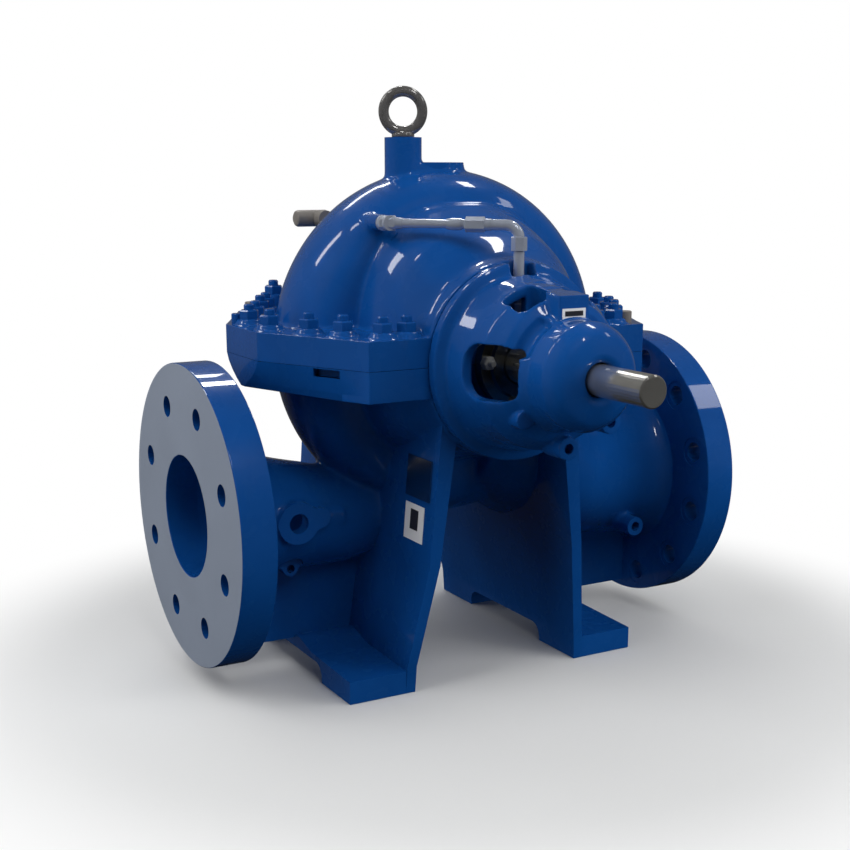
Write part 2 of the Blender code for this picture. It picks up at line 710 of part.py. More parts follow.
def eye_bolt(steel):
    """Lifting eye: ring, neck and collar on the post."""
    ring_r, bar_r = 0.0205, 0.0055
    seat = POST_TOP_Z + JOINT_GAP
    centre_z = seat + ring_r + bar_r
    bm = bmesh.new()
    around, section = 32, 12
    facing = math.radians(-22)
    loops = []
    for i in range(around):
        turn = 2 * math.pi * i / around
        loop = []
        for j in range(section):
            bend = 2 * math.pi * j / section
            reach = ring_r + bar_r * math.cos(bend)
            off = bar_r * math.sin(bend)
            across = reach * math.cos(turn)
            loop.append(bm.verts.new((POST_X + across * math.cos(facing) - off * math.sin(facing),
                                      across * math.sin(facing) + off * math.cos(facing),
                                      centre_z + reach * math.sin(turn))))
        loops.append(loop)
    for near, far in zip(loops, loops[1:] + loops[:1]):
        for j in range(section):
            k = (j + 1) % section
            bm.faces.new((near[j], near[k], far[k], far[j]))
    eye = solid("eye_bolt", bm)
    neck = turned("neck", "Z", (POST_X, 0, 0), [
        (0.0135, seat), (0.0135, seat + 0.004), (0.009, seat + 0.0055), (0.0075, centre_z - ring_r)], 24)
    combine(eye, [neck], "UNION")
    return finish(eye, steel)


def nameplate(metal):
    """Bare rating plate on the outer face of the discharge side foot wall."""
    (low_z, _, low_x, _), (high_z, _, high_x, _) = FOOT_WALL[-2:]
    rings = []
    for z in PLATE_Z:
        lean = low_x + (high_x - low_x) * (z - low_z) / (high_z - low_z)
        back = -(lean + JOINT_GAP)
        rings.append([(x, y, z) for x, y in ((back, PLATE_Y[0]), (back - PLATE_T, PLATE_Y[0]),
                                             (back - PLATE_T, PLATE_Y[1]), (back, PLATE_Y[1]))])
    return finish(loft("nameplate", rings), metal)


def empty(name, place):
    made = bpy.data.objects.new(name, None)
    made.location = place
    bpy.context.scene.collection.objects.link(made)
    return made


def place_in_frame(turning):
    """Parents each fixed piece to the pump's frame, and each turning piece to an empty on the shaft's axis."""
    pieces = list(bpy.data.objects)
    pump_frame = empty("pump_frame", FRAME_SHIFT)
    rotor_axis = empty("rotor_axis", shaft_point())
    rotor_axis.parent = pump_frame
    for piece in pieces:
        if piece in turning:
            piece.data.transform(Matrix.Translation((0, 0, -SHAFT_Z)))
            piece.parent = rotor_axis
        else:
            piece.parent = pump_frame


def build():
    clear_scene()
    paint = material("blue_enamel", BLUE, 0.25, 0.0)
    steel = material("bright_steel", (0.62, 0.61, 0.58), 0.25, 1.0)
    rubber = material("black_rubber", (0.02, 0.02, 0.02), 0.7, 0.0)
    sheet = material("gasket_sheet", (0.05, 0.05, 0.05), 0.8, 0.0)
    lower_casing(paint)
    upper_casing(paint)
    discharge_nozzle(paint)
    suction_nozzle(paint)
    foot("discharge_side_foot", -1, discharge_tube(JOINT_GAP), paint)
    foot("suction_side_foot", 1, suction_tube(JOINT_GAP), paint)
    casing_gaskets(sheet)
    turning = rotor(steel, rubber)
    for label, side in (("drive", -1), ("free", 1)):
        bearing_bracket(label + "_bearing_bracket", side, paint)
        turning.append(bearing(label + "_bearing", side, steel))
        bearing_cover(label + "_bearing_cover", side, side == -1, paint)
        seal_gland(label + "_seal_gland", side, steel)
        flush_line(label, side, steel)
    eye_bolt(steel)
    nameplate(steel)
    place_in_frame(turning)


build()
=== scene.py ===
from math import copysign, cos, dist, hypot, pi, radians, sin, sqrt

import bmesh
import bpy
from mathutils import Matrix, Vector


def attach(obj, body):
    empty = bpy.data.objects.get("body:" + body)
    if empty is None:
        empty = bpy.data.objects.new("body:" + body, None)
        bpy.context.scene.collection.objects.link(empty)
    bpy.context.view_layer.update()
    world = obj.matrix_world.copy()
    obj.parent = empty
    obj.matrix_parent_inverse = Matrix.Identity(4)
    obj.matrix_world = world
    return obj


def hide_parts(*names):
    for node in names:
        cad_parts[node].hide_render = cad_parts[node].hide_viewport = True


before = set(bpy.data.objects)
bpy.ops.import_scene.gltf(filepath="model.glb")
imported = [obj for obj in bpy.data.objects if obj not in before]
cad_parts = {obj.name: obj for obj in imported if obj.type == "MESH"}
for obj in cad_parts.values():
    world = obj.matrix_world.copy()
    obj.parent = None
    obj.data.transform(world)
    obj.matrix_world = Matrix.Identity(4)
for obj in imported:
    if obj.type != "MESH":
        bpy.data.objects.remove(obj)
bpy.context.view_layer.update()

# Sizes are in metres. They are measured from the point on the ground under the crossing of the shaft and
# nozzle axes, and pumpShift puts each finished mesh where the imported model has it.
pumpShift = Vector((-0.0075, 0.0375, 0))
shaftHeight = 0.342
nozzleHeight = 0.18
shaftAxis = (0, 0, shaftHeight)
nozzleAxis = (0, 0, nozzleHeight)
past = 0.5  # reaches past the whole pump
scene = bpy.context.scene


# Small tools for meshes

def report(stage):
    print("pump:", stage)


def span(side, near, far):  # low and high end of what lies on one side of the middle
    return sorted((side * near, side * far))


def pointOn(axis, centre, across, up, along):
    x, y, z = centre
    if axis == "X":
        return (x + along, y + across, z + up)
    if axis == "Y":
        return (x + across, y + along, z + up)
    return (x + across, y + up, z + along)


def turnsOf(count, phase=0):  # equal steps round a full circle
    return [2 * pi * (i + phase) / count for i in range(count)]


def ringPoints(axis, centre, radius, along, count):
    turns = turnsOf(count)
    return [pointOn(axis, centre, radius * cos(t), radius * sin(t), along) for t in turns]


def skin(bm, rings, looped=False):  # one closed shell through rings of equal count
    loops = [[bm.verts.new(point) for point in ring] for ring in rings]
    count = len(loops[0])
    for near, far in zip(loops, loops[1:] + (loops[:1] if looped else [])):
        for i in range(count):
            j = (i + 1) % count
            bm.faces.new((near[i], near[j], far[j], far[i]))
    if not looped:
        bm.faces.new(loops[0])
        bm.faces.new(loops[-1])


def addTurned(bm, axis, centre, profile, count, looped=False):  # profile holds (radius, distance along)
    skin(bm, [ringPoints(axis, centre, radius, along, count) for radius, along in profile], looped)


def addCylinder(bm, axis, centre, radius, low, high, count=64):
    addTurned(bm, axis, centre, [(radius, low), (radius, high)], count)


def addPrism(bm, outline, low, high, axis="Z"):  # outline lies across the axis
    skin(bm, [[pointOn(axis, (0, 0, 0), a, b, along) for a, b in outline] for along in (low, high)])


def addBox(bm, low, high):
    (x0, y0, z0), (x1, y1, z1) = low, high
    addPrism(bm, [(x0, y0), (x1, y0), (x1, y1), (x0, y1)], z0, z1)


def smoothed(stations, steps=6):  # Catmull-Rom points through rows of numbers
    rows = [stations[0]] + list(stations) + [stations[-1]]
    made = []
    for a, b, c, d in zip(rows, rows[1:], rows[2:], rows[3:]):
        for k in range(steps):
            t = k / steps
            made.append(tuple(
                0.5 * (2 * q + (r - p) * t + (2 * p - 5 * q + 4 * r - s) * t * t
                       + (3 * q - p - 3 * r + s) * t ** 3)
                for p, q, r, s in zip(a, b, c, d)))
    return made + [tuple(stations[-1])]


def rounded(corners, radius, steps=5, looped=False):  # rounds the corners of a profile of (a, b) points
    made = []
    last = len(corners) - 1
    for i, corner in enumerate(corners):
        if not looped and i in (0, last):
            made.append(corner)
            continue
        here = Vector(corner)
        before, after = Vector(corners[i - 1]) - here, Vector(corners[(i + 1) % len(corners)]) - here
        reach = min(radius, before.length * 0.45, after.length * 0.45)
        start, end = here + before.normalized() * reach, here + after.normalized() * reach
        for k in range(steps + 1):
            t = k / steps
            made.append(tuple(start * (1 - t) ** 2 + here * 2 * t * (1 - t) + end * t * t))
    return made


def newPiece(name, bm):
    bmesh.ops.recalc_face_normals(bm, faces=bm.faces)
    mesh = bpy.data.meshes.new(name)
    bm.to_mesh(mesh)
    bm.free()
    piece = bpy.data.objects.new(name, mesh)
    scene.collection.objects.link(piece)
    return piece


def settle(piece):  # turns what the modifiers show into the piece's own mesh
    graph = bpy.context.evaluated_depsgraph_get()
    mesh = bpy.data.meshes.new_from_object(piece.evaluated_get(graph))
    piece.modifiers.clear()
    piece.data = mesh
    return piece


def melt(piece, voxel, passes):  # melts overlapping shells into one casting with soft corners
    remesh = piece.modifiers.new("melt", "REMESH")
    remesh.mode = "VOXEL"
    remesh.voxel_size = voxel
    remesh.use_smooth_shade = True
    soften = piece.modifiers.new("soften", "SMOOTH")
    soften.factor = 0.5
    soften.iterations = passes
    return settle(piece)


def carve(piece, cutters, operation="DIFFERENCE", solver="MANIFOLD"):
    for cutter in cutters:
        boolean = piece.modifiers.new("carve", "BOOLEAN")
        boolean.operation = operation
        boolean.solver = solver
        boolean.object = cutter
    settle(piece)
    for cutter in cutters:
        bpy.data.objects.remove(cutter)
    return piece


def cutterFrom(build):  # build(bm) fills a new mesh
    bm = bmesh.new()
    build(bm)
    return newPiece("cutter", bm)


def boxCutter(low, high):
    return cutterFrom(lambda bm: addBox(bm, low, high))


def rodCutter(axis, centre, radius, low, high, count=48):
    return cutterFrom(lambda bm: addCylinder(bm, axis, centre, radius, low, high, count))


def joined(piece, *others):  # adds the closed shells of other pieces to a piece
    bm = bmesh.new()
    for source in (piece, *others):
        bm.from_mesh(source.data)
    bm.to_mesh(piece.data)
    bm.free()
    for source in others:
        bpy.data.objects.remove(source)


def crisp(bm, width, keep=lambda edge: True):  # small bevels on the sharp edges that keep() picks
    bmesh.ops.recalc_face_normals(bm, faces=bm.faces)
    bm.normal_update()
    sharp = [e for e in bm.edges if len(e.link_faces) == 2 and e.calc_face_angle() > 0.3 and keep(e)]
    bmesh.ops.bevel(bm, geom=sharp, offset=width, segments=2, profile=0.5, affect="EDGES",
                    clamp_overlap=True)


# Materials

def newFinish(name, colour, roughness, metallic=0):
    finish = bpy.data.materials.new(name)
    finish.use_nodes = True
    shader = finish.node_tree.nodes["Principled BSDF"]
    fill(shader, {"Base Color": (*colour, 1), "Roughness": roughness, "Metallic": metallic})
    return finish, finish.node_tree, shader


def fill(node, values):  # sets a node's inputs, or links them where the value is another node's output
    for key, value in values.items():
        if isinstance(value, bpy.types.NodeSocket):
            node.id_data.links.new(value, node.inputs[key])
        else:
            node.inputs[key].default_value = value
    return node


def addNode(tree, kind, values=None):
    return fill(tree.nodes.new("ShaderNode" + kind), values or {})


def objectPlace(tree, shift=(0, 0, 0), scale=(1, 1, 1)):
    place = addNode(tree, "TexCoord").outputs["Object"]
    return addNode(tree, "Mapping", {"Vector": place, "Location": shift, "Scale": scale}).outputs["Vector"]


def noise(tree, vector, scale, detail=3):
    return addNode(tree, "TexNoise", {"Vector": vector, "Scale": scale, "Detail": detail}).outputs["Fac"]


def ranged(tree, value, low, high, fromLow=0.3, fromHigh=0.7):
    ends = {"From Min": fromLow, "From Max": fromHigh, "To Min": low, "To Max": high}
    return addNode(tree, "MapRange", {"Value": value, **ends}).outputs["Result"]


def mixed(tree, share, first, second):
    made = tree.nodes.new("ShaderNodeMix")
    made.data_type = "RGBA"
    return fill(made, {"Factor": share, "A": (*first, 1), "B": (*second, 1)}).outputs["Result"]


def bumped(tree, height, strength, distance):
    values = {"Height": height, "Strength": strength, "Distance": distance}
    return addNode(tree, "Bump", values).outputs["Normal"]


enamel = {
    "deep": (0.003, 0.056, 0.242), "bright": (0.0045, 0.072, 0.3), "tintScale": 11,
    "roughness": (0.22, 0.32), "roughScale": 34, "specular": 0.06, "coatRoughness": 0.04,
    "peelScale": 130, "peelStrength": 0.25, "peelDepth": 0.00018,
}


def makeEnamel():
    finish, tree, shader = newFinish("blueEnamel", enamel["bright"], enamel["roughness"][0])
    vector = objectPlace(tree)
    share = ranged(tree, noise(tree, vector, enamel["tintScale"]), 0, 1)
    peel = noise(tree, vector, enamel["peelScale"], 2)
    fill(shader, {
        "Base Color": mixed(tree, share, enamel["deep"], enamel["bright"]),
        "Roughness": ranged(tree, noise(tree, vector, enamel["roughScale"]), *enamel["roughness"]),
        "Specular IOR Level": enamel["specular"], "Coat Weight": 1,
        "Coat Roughness": enamel["coatRoughness"],
        "Normal": bumped(tree, peel, enamel["peelStrength"], enamel["peelDepth"]),
    })
    return finish


turnedFace = {
    "colour": (0.35, 0.405, 0.51), "metallic": 0.35, "roughness": (0.32, 0.46), "cloudScale": 18,
    "ringScale": 420, "ringWander": 0.4, "ringStrength": 0.12, "ringDepth": 0.0002,
}


def makeMachinedFace():  # fine turned rings round the nozzles' axis
    colour, roughness = turnedFace["colour"], turnedFace["roughness"]
    finish, tree, shader = newFinish("machinedFace", colour, roughness[0], turnedFace["metallic"])
    vector = objectPlace(tree, (-pumpShift.x, -pumpShift.y, -nozzleHeight))
    values = {"Vector": vector, "Scale": turnedFace["ringScale"], "Distortion": turnedFace["ringWander"]}
    rings = addNode(tree, "TexWave", values)
    rings.wave_type = "RINGS"
    rings.rings_direction = "X"
    fill(shader, {
        "Roughness": ranged(tree, noise(tree, vector, turnedFace["cloudScale"]), *roughness),
        "Normal": bumped(tree, rings.outputs["Fac"], turnedFace["ringStrength"], turnedFace["ringDepth"]),
    })
    return finish


steel = {"dullShare": 0.82, "cloudScale": 40, "scratchStrength": 0.03, "scratchDepth": 0.00005}
matt = {"grainStrength": 0.2, "grainDepth": 0.0002}


def makeSteel(name, colour, roughness, metallic, grain=(900, 60, 900)):
    finish, tree, shader = newFinish(name, colour, roughness, metallic)
    fine = noise(tree, objectPlace(tree, scale=grain), 1, 2)
    share = ranged(tree, noise(tree, objectPlace(tree), steel["cloudScale"]), 0, 1)
    fill(shader, {
        "Base Color": mixed(tree, share, tuple(steel["dullShare"] * c for c in colour), colour),
        "Roughness": ranged(tree, fine, roughness * 0.9, roughness * 1.15),
        "Normal": bumped(tree, fine, steel["scratchStrength"], steel["scratchDepth"]),
    })
    return finish


def makeMatt(name, colour, roughness, grain):
    finish, tree, shader = newFinish(name, colour, roughness)
    fine = noise(tree, objectPlace(tree), grain)
    fill(shader, {
        "Roughness": ranged(tree, fine, roughness * 0.85, roughness * 1.15),
        "Normal": bumped(tree, fine, matt["grainStrength"], matt["grainDepth"]),
    })
    return finish


blueEnamel = makeEnamel()
machinedFace = makeMachinedFace()
shaftSteel = makeSteel("shaftSteel", (0.66, 0.65, 0.61), 0.16, 0.88, (40, 700, 40))
nutSteel = makeSteel("nutSteel", (0.86, 0.86, 0.8), 0.14, 0.3)
brightSteel = makeSteel("brightSteel", (0.6, 0.66, 0.79), 0.16, 0.62)
eyeSteel = makeSteel("eyeSteel", (0.34, 0.33, 0.325), 0.13, 0.75, (300, 300, 300))
glandSteel = makeSteel("glandSteel", (0.5, 0.49, 0.42), 0.22, 1, (60, 700, 60))
plateMetal = makeSteel("plateMetal", (0.5, 0.49, 0.46), 0.16, 1, (30, 300, 300))
plugSteel = makeSteel("plugSteel", (0.26, 0.24, 0.22), 0.45, 0.3, (300, 300, 300))
blackRubber = makeMatt("blackRubber", (0.02, 0.02, 0.02), 0.65, 500)
gasketSheet = makeMatt("gasketSheet", (0.004, 0.018, 0.07), 0.6, 900)
labelWhite = makeMatt("labelWhite", (0.8, 0.8, 0.8), 0.45, 700)
labelDark = makeMatt("labelDark", (0.02, 0.02, 0.025), 0.45, 700)
report("materials")


def paint(piece, *finishes):
    piece.data.materials.clear()
    for finish in finishes:
        piece.data.materials.append(finish)


def handOver(piece, replaced=(), finish=blueEnamel, body="casing", sharp=32):
    piece.data.transform(Matrix.Translation(pumpShift))
    if finish is not None:
        paint(piece, finish)
    piece.data.shade_smooth()
    piece.data.set_sharp_from_angle(angle=radians(sharp))
    flatten = piece.modifiers.new("flatten", "WEIGHTED_NORMAL")  # keeps flat faces flat beside their bevels
    flatten.keep_sharp = True
    settle(piece)
    if replaced:
        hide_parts(*replaced)
    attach(piece, body)


# Volute and suction chambers, shared by both casing halves

casing = {
    "voluteX": 0.0065, "voluteRadius": 0.188, "shoulderRadius": 0.135, "voluteHalfWidth": 0.064,
    "rimSwell": 0.75, "boxRadius": 0.1, "lowerShare": 0.78,
    "chamber": (  # half width, height, distance from the middle
        (0.124, 0.154, 0), (0.124, 0.153, 0.06), (0.1235, 0.147, 0.076), (0.122, 0.14, 0.092),
        (0.119, 0.131, 0.108), (0.114, 0.121, 0.125), (0.108, 0.11, 0.14), (0.103, 0.103, 0.152),
        (0.1, 0.1, 0.168),
    ),
    "roundFrom": 0.118, "roundOver": 0.034,  # where the chamber's section turns round
    "powers": ((0.72, 0.28), (0.92, 0.08)),  # of its sides and its top, and what roundness adds
    "splitOutline": ((0.2245, 0.043), (0.176, 0.138), (0.162, 0.168)),
    "splitUpper": 0.029, "splitLower": 0.031,
    "splitEndTaper": ((0, 0.004), (0.007, 0.017), (0.015, 0.029), (0.023, 0.038)),
    "splitBevel": 0.0009, "halfGap": 0.0002, "slabInset": 0.0012, "overlap": 0.02,
    "passageRadius": 0.022, "passageEnd": 0.2, "voxel": 0.0024, "passes": 6,
}


def addVolute(bm):
    steps = 32
    reach = casing["voluteRadius"] - casing["shoulderRadius"]
    rim = []
    for i in range(steps + 1):
        turn = pi * (i / steps - 0.5)
        swell = max(0, cos(turn)) ** casing["rimSwell"]
        rim.append((casing["shoulderRadius"] + reach * swell, casing["voluteHalfWidth"] * sin(turn)))
    addTurned(bm, "Y", (casing["voluteX"], 0, shaftHeight), rim, 180)


def addChambers(bm):
    half = smoothed(casing["chamber"], 5)
    rings = []
    for width, height, y in [(w, h, -y) for w, h, y in reversed(half)] + half[1:]:
        roundness = min(1, max(0, (abs(y) - casing["roundFrom"]) / casing["roundOver"]))
        sideways, upward = (least + more * roundness for least, more in casing["powers"])
        ring = []
        for angle in turnsOf(144):
            across = copysign(abs(cos(angle)) ** sideways, cos(angle))
            up = copysign(abs(sin(angle)) ** upward, sin(angle))
            reach = height if up > 0 else max(casing["boxRadius"], height * casing["lowerShare"])
            ring.append((width * across, y, shaftHeight + reach * up))
        rings.append(ring)
    skin(bm, rings)


def splitPlan(endHalf, inset=0):
    (endX, _), *sides = casing["splitOutline"]
    corner = [(endX - inset, endHalf)] + [(x - inset, y - inset) for x, y in sides]
    plan = [(x, -y) for x, y in reversed(corner)] + corner
    return plan + [(-x, -y) for x, y in plan]


def addSplitFlange(bm, levels, inset=0):  # levels hold (height, half width of the end faces)
    skin(bm, [[(x, y, z) for x, y in splitPlan(half, inset)] for z, half in levels])


def splitSlab(levels, joint):  # the crisp outside of a split flange, without bevels at the joint
    bm = bmesh.new()
    addSplitFlange(bm, levels)
    crisp(bm, casing["splitBevel"], lambda edge: any(abs(v.co.z - joint) > 1e-5 for v in edge.verts))
    return newPiece("slab", bm)


def passageCutter():  # the space for the shaft and its sleeves
    return rodCutter("Y", shaftAxis, casing["passageRadius"], -casing["passageEnd"], casing["passageEnd"])


upper = {
    "postX": -0.035, "postRadius": 0.0198, "postTop": 0.562, "postSpare": 0.008,
    "ventX": 0.014, "ventRadius": 0.022, "ventCore": 0.0226, "ventTop": 0.5365, "ventBevel": 0.0006,
    "ventDepth": 0.012, "neckStart": 0.012, "neckShare": 0.8, "saddleShare": 0.86,
    "tap": (-0.098, 0, 0.477), "tapFace": 0.0735, "tapSpare": 0.004, "tapRadius": 0.0088,
    "tapTrim": (0.02, 0.1), "bossRadius": 0.0125, "bossFlare": 0.003,
}
studRows = (  # x, y and the height of the boss: the free end's corner stud stands on a tall one
    (0.204, -0.028, 0.006), (0.183, -0.078, 0.006), (0.163, -0.114, 0.006), (0.137, -0.148, 0.006),
    (0.112, -0.15, 0.006), (0.203, 0.03, 0.006), (0.184, 0.06, 0.006), (0.166, 0.09, 0.009),
    (0.147, 0.12, 0.009), (0.1255, 0.1485, 0.02),
)
studPlaces = [(side * x, y, height) for x, y, height in studRows for side in (-1, 1)]
dowel = {"places": ((-0.213, 0.04), (0.213, -0.04)), "radius": 0.0058, "chamfer": 0.001,
         "sunk": 0.004, "top": 0.382}
flangePlug = {"places": ((-0.155, 0.145), (0.155, -0.145)), "radius": 0.007, "chamfer": 0.0008,
              "sunk": 0.003, "top": 0.383}


def pinsOf(name, pin):  # round pins with chamfered tops, standing in the split flange
    bm = bmesh.new()
    radius, chamfer, top = pin["radius"], pin["chamfer"], pin["top"]
    low = shaftHeight + casing["splitUpper"] - pin["sunk"]
    for x, y in pin["places"]:
        addTurned(bm, "Z", (x, y, 0), [(radius, low), (radius, top - chamfer), (radius - chamfer, top)], 24)
    return newPiece(name, bm)


def ventPlate():  # crisp flat top of the vent boss, running back to the lifting post
    radius, top = upper["ventRadius"], upper["ventTop"]
    turns = [pi * i / 24 for i in range(25)]
    neckX, neckHalf = upper["postX"] + upper["neckStart"], radius * upper["neckShare"]
    arc = [(upper["ventX"] + radius * sin(turn), -radius * cos(turn)) for turn in turns]
    bm = bmesh.new()
    addPrism(bm, [(neckX, -neckHalf)] + arc + [(neckX, neckHalf)], top - upper["ventDepth"], top)
    crisp(bm, upper["ventBevel"])
    return newPiece("ventPlate", bm)


def makeUpperCasing():
    flangeTop = shaftHeight + casing["splitUpper"]
    endHalf = casing["splitOutline"][0][1]
    postX, ventX, postTop, ventTop = (upper[key] for key in ("postX", "ventX", "postTop", "ventTop"))
    saddle = upper["ventRadius"] * upper["saddleShare"]
    bm = bmesh.new()
    addVolute(bm)
    addChambers(bm)
    levels = [(shaftHeight - casing["overlap"], endHalf), (flangeTop - 0.0004, endHalf)]
    addSplitFlange(bm, levels, casing["slabInset"])
    addCylinder(bm, "Z", (postX, 0, 0), upper["postRadius"], shaftHeight, postTop + upper["postSpare"])
    addCylinder(bm, "Z", (ventX, 0, 0), upper["ventCore"], shaftHeight, ventTop - 0.0004)
    addBox(bm, (postX, -saddle, shaftHeight), (ventX, saddle, ventTop - 0.001))
    addCylinder(bm, "Y", upper["tap"], upper["tapRadius"], -upper["tapFace"] - upper["tapSpare"], 0)
    bossFoot = upper["bossRadius"] + upper["bossFlare"]
    for x, y, height in studPlaces:
        profile = [(bossFoot, flangeTop - 0.01), (bossFoot, flangeTop - 0.001),
                   (upper["bossRadius"], flangeTop + height)]
        addTurned(bm, "Z", (x, y, 0), profile, 32)
    piece = melt(newPiece("upperCasing", bm), casing["voxel"], casing["passes"])
    joint = shaftHeight + casing["halfGap"]
    cutters = [
        boxCutter((-past, -past, 0), (past, past, joint)),
        passageCutter(),
        boxCutter((-past, -past, postTop), (past, past, past + postTop)),
    ]
    trimRadius, trimStart = upper["tapTrim"]
    for side in (-1, 1):
        cutters.append(rodCutter("Y", upper["tap"], trimRadius, *span(side, upper["tapFace"], trimStart)))
    carve(piece, cutters)
    slab = carve(splitSlab([(joint, endHalf), (flangeTop, endHalf)], joint), [passageCutter()])
    joined(piece, slab, ventPlate(), pinsOf("dowels", dowel))
    handOver(pinsOf("flangePlugs", flangePlug), (), plugSteel)
    handOver(piece, ["upper_casing"])


# Lower casing with both nozzles: one casting, so it stands for three CAD nodes

nozzles = {
    "flangeRadius": 0.15875, "flangeThickness": 0.0365, "flangeCorner": 0.0016,
    "coreInset": 0.006, "coreSpan": (0.012, 0.0355),  # of the flanges' casting inside their crisp discs
    "holeRadius": 0.0111, "spotRadius": 0.0168, "spotDepth": 0.001, "slack": 0.0004,
    "dischargeTube": (  # place, height, half width, half height
        (-0.262, 0.18, 0.08, 0.08), (-0.2435, 0.178, 0.07, 0.07), (-0.202, 0.172, 0.062, 0.062),
        (-0.163, 0.1665, 0.058, 0.058), (-0.11, 0.162, 0.052, 0.052), (-0.075, 0.17, 0.05, 0.05),
        (-0.04, 0.205, 0.045, 0.045),
    ),
    "dischargeBore": (  # place, height, radius
        (-0.31, 0.18, 0.0635), (-0.2555, 0.18, 0.0635), (-0.165, 0.167, 0.049), (-0.11, 0.162, 0.04),
    ),
    "suctionTube": (
        (0.276, 0.18, 0.1, 0.1), (0.2585, 0.18, 0.088, 0.088), (0.215, 0.182, 0.084, 0.084),
        (0.16, 0.2, 0.098, 0.092), (0.09, 0.228, 0.112, 0.092), (0.02, 0.25, 0.1, 0.07),
    ),
    "suctionBore": (
        (0.325, 0.18, 0.0762), (0.2705, 0.18, 0.0762), (0.18, 0.19, 0.076), (0.1305, 0.206, 0.07),
    ),
    "lug": ((-0.169, 0, 0.178), 0.011, -0.068),
    "patch": ((-0.16, -0.057, 0.167), (-0.136, -0.04, 0.181)),
    "slotShares": (0.66, 0.97), "slotHeights": (0.3325, 0.3405), "slotDepth": 0.008,
    "bossSpare": 0.003, "trimStart": -0.12, "wallTop": 0.15, "voxel": 0.0028, "passes": 5,
}
bosses = {  # those of the gauge, the drain and the suction side's plug, with a blind hole each
    "gauge": {"centre": (-0.194, 0, 0.175), "radius": 0.0225, "face": -0.068, "root": -0.03,
              "count": 48, "trim": 0.04, "hole": 0.0105, "depth": 0.016},
    "drain": {"centre": (-0.191, 0, 0.118), "radius": 0.009, "face": -0.036, "root": -0.01,
              "count": 32, "trim": 0.014, "hole": 0.0045, "depth": 0.01},
    "plug": {"centre": (0.2235, 0, 0.1235), "radius": 0.0115, "face": -0.09, "root": -0.03,
             "count": 32, "trim": 0.02, "hole": 0.0055, "depth": 0.012},
}
dischargeFlange = {"name": "dischargeFlange", "face": -0.292, "towards": 1, "bore": 0.0635,
                   "circle": 0.1175, "holes": 8}
suctionFlange = {"name": "suctionFlange", "face": 0.307, "towards": -1, "bore": 0.0762,
                 "circle": 0.135, "holes": 12}


def tubeRings(stations, count=96):
    return [[(x, across * cos(turn), z + up * sin(turn)) for turn in turnsOf(count)]
            for x, z, across, up in smoothed(stations, 5)]


def boreCutter(stations):
    return cutterFrom(lambda bm: skin(bm, tubeRings([(x, z, r, r) for x, z, r in stations], 64)))


def flangeSpan(flange, *depths):  # low and high end of what lies between two depths behind the face
    return sorted(flange["face"] + flange["towards"] * depth for depth in depths)


def boltCutters(flange, radius, low=-0.01):
    cutters = []
    ends = flangeSpan(flange, low, nozzles["flangeThickness"] + 0.01)
    for angle in turnsOf(flange["holes"], 0.5):
        across, up = flange["circle"] * cos(angle), flange["circle"] * sin(angle)
        cutters.append(rodCutter("X", (0, across, nozzleHeight + up), radius, *ends, 32))
    return cutters


def slotCutters():  # pry slots under the joint, at two opposite corners
    (x0, y0), (x1, y1) = casing["splitOutline"][:2]
    length = hypot(x1 - x0, y1 - y0)
    outX, outY = (y1 - y0) / length, (x0 - x1) / length
    first, last = [(x0 + (x1 - x0) * t, y0 + (y1 - y0) * t) for t in nozzles["slotShares"]]
    depth = nozzles["slotDepth"]
    cutters = []
    for turn in (-1, 1):
        outline = [(turn * (x + outX * d), turn * (y + outY * d))
                   for (x, y), d in ((first, 0.01), (last, 0.01), (last, -depth), (first, -depth))]
        cutters.append(cutterFrom(lambda bm: addPrism(bm, outline, *nozzles["slotHeights"])))
    return cutters


